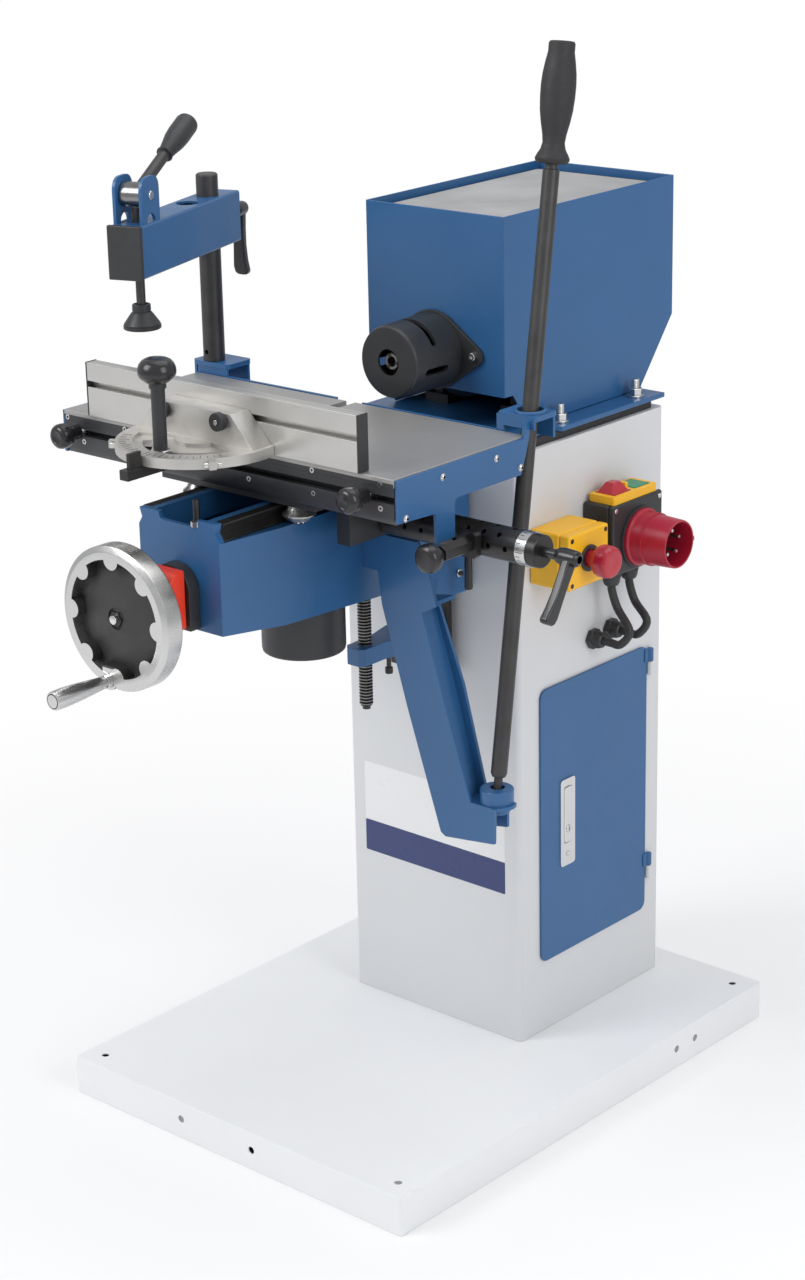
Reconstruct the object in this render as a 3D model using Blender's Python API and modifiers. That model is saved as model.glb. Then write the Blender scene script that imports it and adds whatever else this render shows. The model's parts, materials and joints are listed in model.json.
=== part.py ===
"""Horizontal slot mortiser: a floor-standing cabinet machine with a lifting cross-slide table.

Metres, +Z up. The origin is the middle of the base tray's footprint, on the floor.
-Y is the operator's side. The spindle axis runs along -Y over the cabinet, at x = 0.
"""
import math

import bmesh
import bpy
from mathutils import Matrix, Vector

# Play between pieces that touch
GAP = 0.0003

# Base tray and cabinet
BASE_WIDTH = 0.549
BASE_DEPTH = 0.726
BASE_HEIGHT = 0.050
BASE_SHEET = 0.0025
CABINET_HALF_WIDTH = 0.140
CABINET_FRONT = 0.0256
CABINET_BACK = 0.3176
CABINET_TOP = 0.823
CABINET_SHEET = 0.002
DOOR_FRONT = 0.064
DOOR_BACK = 0.283
DOOR_BOTTOM = 0.148
DOOR_TOP = 0.516
DOOR_SHEET = 0.003
DOOR_HINGE_Y = 0.2885
DOOR_HINGE_X = 0.1440
DOOR_HINGE_Z = (0.190, 0.475)

# Motor hood and spindle
MOUNT_LEVEL = 0.834
MOUNT_SHEET = 0.006
HOOD_HALF_WIDTH = 0.107
HOOD_FRONT = 0.044
HOOD_BACK = 0.379
HOOD_TOP = 1.100
HOOD_TRAY_DEPTH = 0.012
HOOD_SHEET = 0.002
SPINDLE_Z = 0.930
GUARD_RADIUS = 0.044
GUARD_FRONT = -0.042
CHUCK_RADIUS = 0.024

# Vertical guide, lift and knee
GUIDE_HALF_WIDTH = 0.047
GUIDE_FRONT = 0.004
GUIDE_BOTTOM = 0.530
GUIDE_TOP = 0.815
LIFT_Y = -0.096
SCREW_RADIUS = 0.0085
KNEE_FRONT = -0.400
KNEE_BEND = -0.310
KNEE_BACK = -0.046
KNEE_HALF_FRONT = 0.063
KNEE_HALF_BACK = 0.075
KNEE_SHELF = 0.805
RAIL_TOP = 0.827
RAIL_OUT = 0.063
RAIL_IN = 0.050
WHEEL_Z = 0.733
WHEEL_FRONT = -0.505
WHEEL_RADIUS = 0.083
WHEEL_DEPTH = 0.026
WHEEL_SCALLOPS = 9
GRIP_X = -0.014
GRIP_Z = 0.659
PORT_Y = -0.203
PORT_RADIUS = 0.050

# Lever and its arm
ARM_FRONT = -0.178
ARM_BACK = -0.1425
ARM_SHEET = 0.004
LEVER_BALL = Vector((0.2531, -0.1562, 0.4762))
COLLAR = Vector((0.236, -0.070, 0.911))
LEVER_TOP_Z = 1.3115
LEVER_RADIUS = 0.0095
COLLAR_BORE = 0.0142

# Cross carriage, index tube and table
ROLLER_X = 0.0785
ROLLER_Z = 0.8165
ROLLER_RADIUS = 0.0195
ROLLER_Y = (-0.287, -0.150)
TUBE_Y = -0.185
TUBE_Z = 0.796
TUBE_RADIUS = 0.019
TUBE_END = 0.345
TABLE_LEFT = -0.277
TABLE_RIGHT = 0.250
TABLE_FRONT = -0.316
TABLE_BACK = -0.090
TABLE_TOP = 0.890
TABLE_PLATE = 0.010
GROOVE_HALF = 0.0073
GROOVE_FLOOR = 0.0155
RAIL_BOTTOM = 0.838
END_SHEET = 0.004
SLOT_Z = 0.866
PLUNGER_X = 0.258
PLUNGER_Z = 0.797

# Clamp
COLUMN = Vector((-0.257, -0.076, 0.0))
COLUMN_RADIUS = 0.0135
COLUMN_TOP = 1.136
ARM_ANGLE = math.radians(17)
ARM_LOW = 1.047
ARM_HIGH = 1.109
ARM_REACH = 0.209
ARM_TAIL = 0.045
SPINDLE_REACH = 0.176
CAM_Z = 1.141
FOOT_LOW = 0.983
CAM_LEVER_LENGTH = 0.143
CAM_LEVER_RISE = math.radians(25)

# Mitre gauge and fence
GAUGE_X = -0.0175
GAUGE_PIVOT_Y = -0.342
QUADRANT_RADIUS = 0.096
QUADRANT_LOW = TABLE_TOP + GAP
QUADRANT_HIGH = 0.902
FENCE_LEFT = -0.225
FENCE_RIGHT = 0.200
FENCE_FRONT = -0.320
FENCE_DEPTH = 0.016
FENCE_HEIGHT = 0.064
SLEEVE_REACH = 0.060
KNOB_X = (-0.0645, 0.0264)
KNOB_Z = 0.929

for old in list(bpy.data.objects):
    bpy.data.objects.remove(old, do_unlink=True)

parts = bpy.data.collections.new("slot_mortiser")
cutters = bpy.data.collections.new("cutters")
bpy.context.scene.collection.children.link(parts)
bpy.context.scene.collection.children.link(cutters)


# Materials

def material(name, colour, roughness, metallic=0.0):
    made = bpy.data.materials.new(name)
    made.use_nodes = True
    shader = made.node_tree.nodes["Principled BSDF"]
    shader.inputs["Base Color"].default_value = (*colour, 1.0)
    shader.inputs["Roughness"].default_value = roughness
    shader.inputs["Metallic"].default_value = metallic
    return made


BLUE_PAINT = material("blue_paint", (0.037, 0.130, 0.314), 0.42)
LIGHT_PAINT = material("light_grey_paint", (0.63, 0.645, 0.66), 0.45)
BASE_PAINT = material("off_white_paint", (0.83, 0.84, 0.855), 0.5)
BLACK_PLASTIC = material("black_plastic", (0.030, 0.031, 0.033), 0.45)
BLACK_STEEL = material("blackened_steel", (0.045, 0.043, 0.042), 0.35, 0.7)
DARK_RUBBER = material("dark_rubber", (0.02, 0.02, 0.022), 0.8)
GREY_TABLE = material("ground_cast_iron", (0.42, 0.41, 0.40), 0.38, 0.6)
ALUMINIUM = material("aluminium", (0.58, 0.56, 0.53), 0.35, 0.9)
POLISHED = material("polished_aluminium", (0.75, 0.74, 0.72), 0.15, 1.0)
ZINC = material("zinc_plated", (0.65, 0.65, 0.64), 0.3, 1.0)
ORANGE = material("orange_plastic", (0.83, 0.035, 0.010), 0.35)
YELLOW = material("yellow_plastic", (0.92, 0.50, 0.012), 0.4)
RED = material("red_plastic", (0.42, 0.010, 0.025), 0.4)
GREEN = material("green_plastic", (0.03, 0.25, 0.12), 0.4)


# Modelling helpers: each makes a mesh in world coordinates

def add_mesh(bm, name="piece"):
    bmesh.ops.recalc_face_normals(bm, faces=bm.faces)
    mesh = bpy.data.meshes.new(name)
    bm.to_mesh(mesh)
    bm.free()
    piece = bpy.data.objects.new(name, mesh)
    cutters.objects.link(piece)
    piece.hide_render = True
    piece.display_type = 'WIRE'
    return piece


def bake(piece):
    """Apply the piece's modifiers to its mesh."""
    bpy.context.view_layer.update()
    view = bpy.context.evaluated_depsgraph_get()
    mesh = bpy.data.meshes.new_from_object(piece.evaluated_get(view))
    piece.modifiers.clear()
    piece.data = mesh
    return piece


def boolean(piece, tools, operation):
    for tool in tools:
        step = piece.modifiers.new(operation, 'BOOLEAN')
        step.operation = operation
        step.solver = 'EXACT'
        step.object = tool
        bake(piece)
        bpy.data.objects.remove(tool, do_unlink=True)
    return piece


def cut(piece, *tools):
    return boolean(piece, tools, 'DIFFERENCE')


def fuse(piece, *tools):
    return boolean(piece, tools, 'UNION')


def box(low, high, bevel=0.0, segments=1, edges=None):
    """A box by two corners, bevelled on all edges or on those along one axis."""
    low = Vector(low)
    high = Vector(high)
    bm = bmesh.new()
    bmesh.ops.create_cube(bm, size=1.0)
    bmesh.ops.scale(bm, vec=high - low, verts=bm.verts)
    bmesh.ops.translate(bm, vec=(low + high) / 2, verts=bm.verts)
    if bevel:
        chosen = list(bm.edges)
        if edges is not None:
            along = Vector([1.0 if axis == edges else 0.0 for axis in "XYZ"])
            chosen = [e for e in chosen if abs((e.verts[1].co - e.verts[0].co).normalized().dot(along)) > 0.9]
        bmesh.ops.bevel(bm, geom=chosen, offset=bevel, segments=segments, profile=0.5, affect='EDGES')
    return add_mesh(bm)


def along(start, end):
    """The placement whose Z axis runs from start to end, halfway between them."""
    start = Vector(start)
    end = Vector(end)
    turn = (end - start).to_track_quat('Z', 'Y').to_matrix().to_4x4()
    return Matrix.Translation((start + end) / 2) @ turn


def rod(start, end, radius, sides=16, chamfer=0.0):
    """A cylinder between two points."""
    bm = bmesh.new()
    length = (Vector(end) - Vector(start)).length
    bmesh.ops.create_cone(bm, cap_ends=True, segments=sides, radius1=radius, radius2=radius, depth=length)
    if chamfer:
        rims = [e for e in bm.edges if abs(e.verts[0].co.z - e.verts[1].co.z) < length * 0.1]
        bmesh.ops.bevel(bm, geom=rims, offset=chamfer, segments=1, affect='EDGES')
    bmesh.ops.transform(bm, matrix=along(start, end), verts=bm.verts)
    return add_mesh(bm)


def turned(start, end, profile, sides=24):
    """A turned solid: profile is (distance along the axis, radius), from start towards end."""
    start = Vector(start)
    axis = (Vector(end) - start).normalized()
    mesh = bpy.data.meshes.new("profile")
    points = [(0.0, 0.0, profile[-1][0])]
    points += [(r, 0.0, d) for d, r in reversed(profile)]
    points += [(0.0, 0.0, profile[0][0])]
    mesh.from_pydata(points, [(i, i + 1) for i in range(len(points) - 1)], [])
    piece = bpy.data.objects.new("turned", mesh)
    cutters.objects.link(piece)
    screw = piece.modifiers.new("turn", 'SCREW')
    screw.angle = 2 * math.pi
    screw.steps = sides
    screw.render_steps = sides
    screw.use_merge_vertices = True
    screw.merge_threshold = 0.00001
    bake(piece)
    bm = bmesh.new()
    bm.from_mesh(piece.data)
    bpy.data.objects.remove(piece, do_unlink=True)
    bmesh.ops.remove_doubles(bm, verts=bm.verts, dist=0.00001)
    centres = [v for v in bm.verts if v.co.xy.length < 0.000001]
    bmesh.ops.dissolve_verts(bm, verts=centres)
    turn = axis.to_track_quat('Z', 'Y').to_matrix().to_4x4()
    bmesh.ops.transform(bm, matrix=Matrix.Translation(start) @ turn, verts=bm.verts)
    return add_mesh(bm)


def outline_solid(outline, thickness, placement):
    """A flat outline given in its own plane, extruded both ways by half the thickness."""
    curve = bpy.data.curves.new("outline", 'CURVE')
    curve.dimensions = '2D'
    curve.fill_mode = 'BOTH'
    curve.extrude = thickness / 2
    spline = curve.splines.new('POLY')
    spline.points.add(len(outline) - 1)
    for point, (u, v) in zip(spline.points, outline):
        point.co = (u, v, 0.0, 1.0)
    spline.use_cyclic_u = True
    shape = bpy.data.objects.new("outline", curve)
    cutters.objects.link(shape)
    bpy.context.view_layer.update()
    view = bpy.context.evaluated_depsgraph_get()
    mesh = bpy.data.meshes.new_from_object(shape.evaluated_get(view))
    bpy.data.objects.remove(shape, do_unlink=True)
    bm = bmesh.new()
    bm.from_mesh(mesh)
    bmesh.ops.remove_doubles(bm, verts=bm.verts, dist=0.00002)
    bmesh.ops.transform(bm, matrix=placement, verts=bm.verts)
    return add_mesh(bm)


def prism(outline, axis, low, high):
    """An outline extruded along a world axis: (y, z) along X, (x, z) along Y, (x, y) along Z."""
    middle = (low + high) / 2
    if axis == 'X':
        placement = Matrix(((0, 0, 1, middle), (1, 0, 0, 0), (0, 1, 0, 0), (0, 0, 0, 1)))
    elif axis == 'Y':
        placement = Matrix(((1, 0, 0, 0), (0, 0, -1, middle), (0, 1, 0, 0), (0, 0, 0, 1)))
    else:
        placement = Matrix.Translation((0, 0, middle))
    return outline_solid(outline, high - low, placement)


def arc(centre, radius, first, last, steps):
    """Points on an arc, with both ends, angles in degrees."""
    points = []
    for i in range(steps + 1):
        angle = math.radians(first + (last - first) * i / steps)
        points.append((centre[0] + radius * math.cos(angle), centre[1] + radius * math.sin(angle)))
    return points


def rounded(low, high, radius, steps=3):
    """A rectangle's outline with round corners."""
    (u0, v0), (u1, v1) = low, high
    corners = [((u1 - radius, v0 + radius), -90), ((u1 - radius, v1 - radius), 0),
               ((u0 + radius, v1 - radius), 90), ((u0 + radius, v0 + radius), 180)]
    outline = []
    for centre, first in corners:
        outline += arc(centre, radius, first, first + 90, steps)
    return outline


def tube(points, radius, sides_level=2):
    """A round bar along a smooth route."""
    curve = bpy.data.curves.new("route", 'CURVE')
    curve.dimensions = '3D'
    curve.bevel_depth = radius
    curve.bevel_resolution = sides_level
    curve.use_fill_caps = True
    spline = curve.splines.new('POLY')
    spline.points.add(len(points) - 1)
    for point, place in zip(spline.points, points):
        point.co = (*place, 1.0)
    shape = bpy.data.objects.new("route", curve)
    cutters.objects.link(shape)
    bpy.context.view_layer.update()
    view = bpy.context.evaluated_depsgraph_get()
    mesh = bpy.data.meshes.new_from_object(shape.evaluated_get(view))
    bpy.data.objects.remove(shape, do_unlink=True)
    bm = bmesh.new()
    bm.from_mesh(mesh)
    bmesh.ops.remove_doubles(bm, verts=bm.verts, dist=0.00002)
    return add_mesh(bm)


def turn_about(piece, centre, angle, axis='Z'):
    piece.data.transform(Matrix.Translation(centre) @ Matrix.Rotation(angle, 4, axis)
                         @ Matrix.Translation(-Vector(centre)))
    return piece


def part(piece, name, look, origin=(0.0, 0.0, 0.0)):
    """Name the piece, give it its material and put its origin on its joint's axis."""
    cutters.objects.unlink(piece)
    parts.objects.link(piece)
    piece.hide_render = False
    piece.display_type = 'TEXTURED'
    piece.name = name
    piece.data.name = name
    piece.data.materials.clear()
    piece.data.materials.append(look)
    piece.data.transform(Matrix.Translation(-Vector(origin)))
    piece.location = origin
    piece.data.shade_smooth()
    piece.data.set_sharp_from_angle(angle=math.radians(35))
    return piece


# Base, cabinet and door

def base_plate():
    half_x = BASE_WIDTH / 2
    half_y = BASE_DEPTH / 2
    tray = box((-half_x, -half_y, 0), (half_x, half_y, BASE_HEIGHT), 0.003, 2, 'Z')
    inner = box((-half_x + BASE_SHEET, -half_y + BASE_SHEET, -0.01),
                (half_x - BASE_SHEET, half_y - BASE_SHEET, BASE_HEIGHT - BASE_SHEET))
    cut(tray, inner)
    # A welded T rib under the middle, flush with the rim
    rib_end = half_y - BASE_SHEET / 2
    web = box((-0.002, -rib_end, 0.003), (0.002, rib_end, BASE_HEIGHT - 0.001))
    foot = box((-0.020, -rib_end, 0.0), (0.020, rib_end, 0.004))
    fuse(tray, fuse(web, foot))
    corner_x = half_x - 0.027
    corner_y = half_y - 0.027
    for sx in (-1, 1):
        for sy in (-1, 1):
            spot = (sx * corner_x, sy * corner_y)
            cut(tray, rod((*spot, 0.03), (*spot, 0.06), 0.005, 8))
    for x in (-0.085, 0.035):
        cut(tray, rod((x, -half_y - 0.01, 0.026), (x, -half_y + 0.01, 0.026), 0.005, 8))
    for y in (0.175, 0.215):
        cut(tray, rod((half_x - 0.01, y, 0.026), (half_x + 0.01, y, 0.026), 0.005, 8))
    return part(tray, "base_plate", BASE_PAINT)


def hinge_knuckle(low_z, high_z, reach):
    """A knuckle on the door's hinge line, with a leaf that reaches to a wall or a panel."""
    barrel = rod((DOOR_HINGE_X, DOOR_HINGE_Y, low_z), (DOOR_HINGE_X, DOOR_HINGE_Y, high_z), 0.0038, 8)
    leaf = box((CABINET_HALF_WIDTH - 0.001 if reach > 0 else CABINET_HALF_WIDTH + 0.0006,
                min(DOOR_HINGE_Y, DOOR_HINGE_Y + reach), low_z),
               (CABINET_HALF_WIDTH + 0.0032, max(DOOR_HINGE_Y, DOOR_HINGE_Y + reach), high_z))
    return fuse(barrel, leaf)


def cabinet_shell():
    half = CABINET_HALF_WIDTH
    low = BASE_HEIGHT + GAP
    shell = prism(rounded((-half, CABINET_FRONT), (half, CABINET_BACK), 0.008), 'Z', low, CABINET_TOP)
    t = CABINET_SHEET
    inner = prism(rounded((-half + t, CABINET_FRONT + t), (half - t, CABINET_BACK - t), 0.006),
                  'Z', low - 0.01, CABINET_TOP - t)
    doorway = box((half - 0.01, DOOR_FRONT + 0.012, DOOR_BOTTOM + 0.012),
                  (half + 0.01, DOOR_BACK - 0.012, DOOR_TOP - 0.012))
    cut(shell, inner, doorway)
    for z in DOOR_HINGE_Z:
        fuse(shell, hinge_knuckle(z, z + 0.018, 0.009))
    return part(shell, "cabinet_shell", LIGHT_PAINT)


def door_panel():
    x0 = CABINET_HALF_WIDTH + GAP
    panel = prism(rounded((DOOR_FRONT, DOOR_BOTTOM), (DOOR_BACK, DOOR_TOP), 0.010), 'X', x0, x0 + DOOR_SHEET)
    for z in DOOR_HINGE_Z:
        fuse(panel, hinge_knuckle(z + 0.0185, z + 0.0365, -0.009))
    # The latch's plate, with a pocket for its paddle
    plate = box((x0 + 0.001, 0.102, 0.269), (x0 + DOOR_SHEET + 0.002, 0.130, 0.385), 0.001)
    pocket = box((x0 + DOOR_SHEET, 0.1075, 0.2995), (x0 + 0.02, 0.1245, 0.3755))
    fuse(panel, plate)
    cut(panel, pocket)
    hinge = (DOOR_HINGE_X, DOOR_HINGE_Y, 0.0)
    return part(panel, "door_panel", BLUE_PAINT, hinge)


def door_latch():
    x0 = CABINET_HALF_WIDTH + GAP + DOOR_SHEET + GAP
    paddle = box((x0, 0.108, 0.300), (x0 + 0.0030, 0.124, 0.375), 0.001)
    fuse(paddle, rod((x0 + 0.001, 0.116, 0.318), (x0 + 0.0040, 0.116, 0.318), 0.0045, 12))
    return part(paddle, "door_latch", ZINC, (x0 + 0.0015, 0.116, 0.3745))


# Motor, spindle and hood

def mount_plate():
    low = MOUNT_LEVEL
    top = low + MOUNT_SHEET
    outline = [(-0.130, 0.004), (0.130, 0.004), (0.130, 0.108), (0.140, 0.112), (0.140, 0.319),
               (-0.140, 0.319), (-0.140, 0.112), (-0.130, 0.108)]
    plate = prism(outline, 'Z', low, top)
    # Folded front and side lips stiffen the plate
    fuse(plate, box((-0.126, 0.004, low - 0.008), (0.126, 0.010, low + 0.002)))
    for x in (-0.1225, 0.1225):
        for y in (0.130, 0.281):
            cut(plate, rod((x, y, low - 0.01), (x, y, top + 0.01), 0.0058, 8))
    return part(plate, "mount_plate", BLUE_PAINT)


def hexagon(centre, across_flats, low, high):
    radius = across_flats / math.sqrt(3)
    return rod((*centre, low), (*centre, high), radius, 6)


def mount_frame():
    """The spacer frame under the plate, with its four studs and their nuts."""
    low = CABINET_TOP + GAP
    high = MOUNT_LEVEL - GAP
    top = MOUNT_LEVEL + MOUNT_SHEET
    frame = box((-0.132, 0.034, low), (0.132, 0.060, high))
    for x in (-0.1225, 0.1225):
        fuse(frame, box((x - 0.011, 0.040, low), (x + 0.011, 0.300, high)))
        for y in (0.130, 0.281):
            stud = rod((x, y, high - 0.002), (x, y, top + 0.023), 0.005, 8)
            washer = rod((x, y, top + GAP), (x, y, top + 0.0025), 0.0105, 10)
            fuse(stud, washer, hexagon((x, y), 0.016, top + 0.0020, top + 0.0110))
            fuse(frame, stud)
    return part(frame, "mount_frame", ZINC)


HOOD_LOW_FRONT = 0.884
HOOD_LOW = 0.8405
HOOD_STEP_Y = 0.060
HOOD_SLANT_LOW = 0.312
HOOD_SLANT_HIGH = 0.925


def hood_outline(inset, low_extra):
    """The hood's side outline (y, z), drawn in by a sheet's thickness for its inside."""
    return [(HOOD_FRONT + inset, HOOD_LOW_FRONT - low_extra), (HOOD_STEP_Y, HOOD_LOW_FRONT - low_extra),
            (HOOD_STEP_Y + 0.030, HOOD_LOW - low_extra), (HOOD_SLANT_LOW, HOOD_LOW - low_extra),
            (HOOD_BACK - inset, HOOD_SLANT_HIGH + inset * 0.5), (HOOD_BACK - inset, HOOD_TOP - inset),
            (HOOD_FRONT + inset, HOOD_TOP - inset)]


def motor_hood():
    half = HOOD_HALF_WIDTH
    t = HOOD_SHEET
    hood = prism(hood_outline(0.0, 0.0), 'X', -half, half)
    inside = [(HOOD_FRONT + t, 0.80), (HOOD_SLANT_LOW - 0.006, 0.80),
              (HOOD_SLANT_LOW - 0.006, HOOD_LOW + 0.006), (HOOD_BACK - t, HOOD_SLANT_HIGH + 0.004),
              (HOOD_BACK - t, HOOD_TOP - HOOD_TRAY_DEPTH - t),
              (HOOD_FRONT + t, HOOD_TOP - HOOD_TRAY_DEPTH - t)]
    cut(hood, prism(inside, 'X', -half + t, half - t))
    cut(hood, box((-half + t, HOOD_FRONT + t, HOOD_TOP - HOOD_TRAY_DEPTH),
                  (half - t, HOOD_BACK - t, HOOD_TOP + 0.01)))
    # The spindle's opening in the front wall
    cut(hood, rod((0, HOOD_FRONT - 0.01, SPINDLE_Z), (0, HOOD_FRONT + 0.01, SPINDLE_Z), 0.034, 16))
    return part(hood, "motor_hood", BLUE_PAINT)


def motor():
    """The motor's ribbed case on two feet, with its flange towards the chuck."""
    case = turned((0, 0.062, SPINDLE_Z), (0, 0.4, SPINDLE_Z),
                  [(0.0, 0.031), (0.010, 0.031), (0.010, 0.055), (0.028, 0.068), (0.202, 0.068),
                   (0.232, 0.058), (0.240, 0.040)], 24)
    for x in (-0.060, 0.060):
        foot = box((x - 0.018, 0.115, MOUNT_LEVEL + MOUNT_SHEET + GAP), (x + 0.018, 0.245, 0.852))
        web = box((x - 0.006, 0.120, 0.848), (x + 0.006, 0.240, 0.925))
        fuse(case, fuse(foot, web))
    fuse(case, box((-0.040, 0.120, 0.985), (0.040, 0.200, 1.030)))
    return part(case, "motor", BLACK_PLASTIC)


def drill_chuck():
    """The chuck on the motor's shaft: body, jaw nose and a bore that grips the bit."""
    start = (0, GUARD_FRONT + 0.006, SPINDLE_Z)
    chuck = turned(start, (0, 0.1, SPINDLE_Z), [(0.0, 0.010), (0.014, 0.018), (0.016, CHUCK_RADIUS),
                                                (0.058, CHUCK_RADIUS), (0.062, 0.019), (0.072, 0.018),
                                                (0.072, 0.0125), (0.0970, 0.0125)], 16)
    cut(chuck, rod((0, GUARD_FRONT, SPINDLE_Z), (0, GUARD_FRONT + 0.046, SPINDLE_Z), 0.0065, 12))
    for i in range(3):
        angle = math.radians(97 + 120 * i)
        spot = Vector((math.cos(angle) * 0.023, GUARD_FRONT + 0.050, SPINDLE_Z + math.sin(angle) * 0.023))
        outward = Vector((math.cos(angle), 0, math.sin(angle)))
        cut(chuck, rod(spot - outward * 0.006, spot + outward * 0.006, 0.004, 6))
    return part(chuck, "drill_chuck", BLACK_STEEL, (0, 0, SPINDLE_Z))


def chuck_guard():
    """The black cover round the chuck: a cup with slots in its wall and a two-eared flange."""
    back = HOOD_FRONT - GAP
    cup = turned((0, GUARD_FRONT, SPINDLE_Z), (0, 1, SPINDLE_Z),
                 [(0.0, GUARD_RADIUS - 0.003), (0.003, GUARD_RADIUS),
                  (back - GUARD_FRONT, GUARD_RADIUS + 0.002)], 28)
    # The flange: straight tangents from the cup out to two round ears
    ear = 0.064
    tip = 0.012
    flange_radius = GUARD_RADIUS + 0.0045
    lean = math.degrees(math.acos((flange_radius - tip) / ear))
    outline = (arc((0, SPINDLE_Z), flange_radius, lean, 180 - lean, 6)
               + arc((-ear, SPINDLE_Z), tip, 180 - lean, 180 + lean, 4)
               + arc((0, SPINDLE_Z), flange_radius, 180 + lean, 360 - lean, 6)
               + arc((ear, SPINDLE_Z), tip, 360 - lean, 360 + lean, 4))
    fuse(cup, prism(outline, 'Y', back - 0.005, back))
    hollow = turned((0, GUARD_FRONT + 0.003, SPINDLE_Z), (0, 1, SPINDLE_Z),
                    [(0.0, GUARD_RADIUS - 0.005), (0.12, GUARD_RADIUS - 0.003)], 28)
    mouth = rod((0, GUARD_FRONT - 0.01, SPINDLE_Z), (0, GUARD_FRONT + 0.01, SPINDLE_Z), 0.0125, 16)
    cut(cup, hollow, mouth)
    # Curved vent slots, right through the wall
    for centre_angle, half_turn, y, half_width in ((70, 34, 0.012, 0.003), (-8, 15, 0.006, 0.007),
                                                   (188, 15, 0.006, 0.007)):
        slot = prism(arc((0, SPINDLE_Z), 0.060, centre_angle - half_turn, centre_angle + half_turn, 3)
                     + arc((0, SPINDLE_Z), 0.034, centre_angle + half_turn, centre_angle - half_turn, 3),
                     'Y', y - half_width, y + half_width)
        cut(cup, slot)
    for side in (-1, 1):
        cut(cup, rod((side * ear, back - 0.02, SPINDLE_Z), (side * ear, back + 0.02, SPINDLE_Z), 0.003, 8))
    return part(cup, "chuck_guard", BLACK_PLASTIC)


# Switchgear on the cabinet's right side

SWITCH_BOX = ((0.1403, 0.151, 0.648), (0.187, 0.252, 0.738))
ESTOP_BOX = ((0.1403, 0.047, 0.659), (0.200, 0.125, 0.728))
ESTOP_AXIS = (0.086, 0.6935)
INLET_AXIS = (0.205, 0.689)
BUTTONS = ((0.164, 0.1985), (0.2055, 0.237))


def estop_box():
    shell = box(*ESTOP_BOX, bevel=0.003, segments=2)
    y, z = ESTOP_AXIS
    lid_x = ESTOP_BOX[1][0]
    fuse(shell, rod((lid_x - 0.004, y, z), (lid_x + 0.002, y, z), 0.0165, 16))
    cut(shell, rod((lid_x - 0.030, y, z), (lid_x + 0.02, y, z), 0.0115, 14))
    return part(shell, "estop_box", YELLOW)


def estop_button():
    y, z = ESTOP_AXIS
    lid_x = ESTOP_BOX[1][0]
    knob = turned((lid_x - 0.020, y, z), (1, y, z),
                  [(0.0, 0.010), (0.0285, 0.010), (0.030, 0.0175), (0.034, 0.0200), (0.046, 0.0200),
                   (0.0505, 0.0180), (0.052, 0.014)], 24)
    return part(knob, "estop_button", RED, (lid_x, y, z))


def switch_box():
    """The box with the round seat of the inlet and the raised frame of the two buttons."""
    (x0, y0, z0), (x1, y1, z1) = SWITCH_BOX
    shell = box(SWITCH_BOX[0], SWITCH_BOX[1], 0.004, 2)
    # Round seat for the power inlet, and the top opening for the two buttons
    y, z = INLET_AXIS
    fuse(shell, rod((x1 - 0.003, y, z), (x1 + 0.003, y, z), 0.0385, 24))
    cut(shell, rod((x1 - 0.020, y, z), (x1 + 0.01, y, z), 0.022, 14))
    fuse(shell, box((x0 + 0.005, y0 + 0.006, z1 - 0.003), (x1 - 0.003, y1 - 0.008, z1 + 0.010)))
    for y_low, y_high in BUTTONS:
        cut(shell, box((x0 + 0.008, y_low, z1 - 0.010), (x1 - 0.008, y_high, z1 + 0.02)))
    middle = (BUTTONS[0][1] + BUTTONS[1][0]) / 2
    fuse(shell, box((x0 + 0.018, middle - 0.003, z1 + 0.002), (x0 + 0.029, middle + 0.003, z1 + 0.017)))
    return part(shell, "switch_box", BLACK_PLASTIC)


def button(y_low, y_high, dome, look, name):
    """A rectangular push button with a raised, bevelled cap, standing in the frame."""
    (x0, _, _), (x1, _, z1) = SWITCH_BOX
    low = z1 - 0.006
    inset = 0.0088
    cap = box((x0 + inset, y_low + 0.0005, low), (x1 - inset, y_high - 0.0005, z1 + 0.011), 0.0008)
    if dome:
        bm = bmesh.new()
        bmesh.ops.create_cone(bm, cap_ends=True, segments=4, radius1=0.0205, radius2=0.009, depth=0.012)
        bmesh.ops.rotate(bm, cent=(0, 0, 0), matrix=Matrix.Rotation(math.radians(45), 3, 'Z'), verts=bm.verts)
        middle = Vector(((x0 + x1) / 2, (y_low + y_high) / 2, z1 + 0.0165))
        bmesh.ops.translate(bm, vec=middle, verts=bm.verts)
        fuse(cap, add_mesh(bm))
    return part(cap, name, look, ((x0 + x1) / 2, (y_low + y_high) / 2, z1))


def power_inlet():
    """The five-pin inlet: seat, sloping collar, shroud with its key, and pins inside."""
    x1 = SWITCH_BOX[1][0]
    y, z = INLET_AXIS
    start = x1 + 0.003 + GAP
    shroud = turned((start, y, z), (1, y, z),
                    [(0.0, 0.036), (0.004, 0.036), (0.006, 0.0335), (0.018, 0.0325), (0.020, 0.0315),
                     (0.056, 0.0300)], 24)
    cut(shroud, rod((start + 0.014, y, z), (1.0, y, z), 0.0272, 24))
    for i in range(5):
        angle = math.radians(90 + 72 * i)
        spot = (y + 0.0155 * math.cos(angle), z + 0.0155 * math.sin(angle))
        fuse(shroud, rod((start + 0.010, *spot), (start + 0.046, *spot), 0.0030, 8))
    fuse(shroud, box((start + 0.020, y + 0.028, z - 0.003), (start + 0.056, y + 0.0335, z + 0.003)))
    return part(shroud, "power_inlet", RED)


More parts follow.
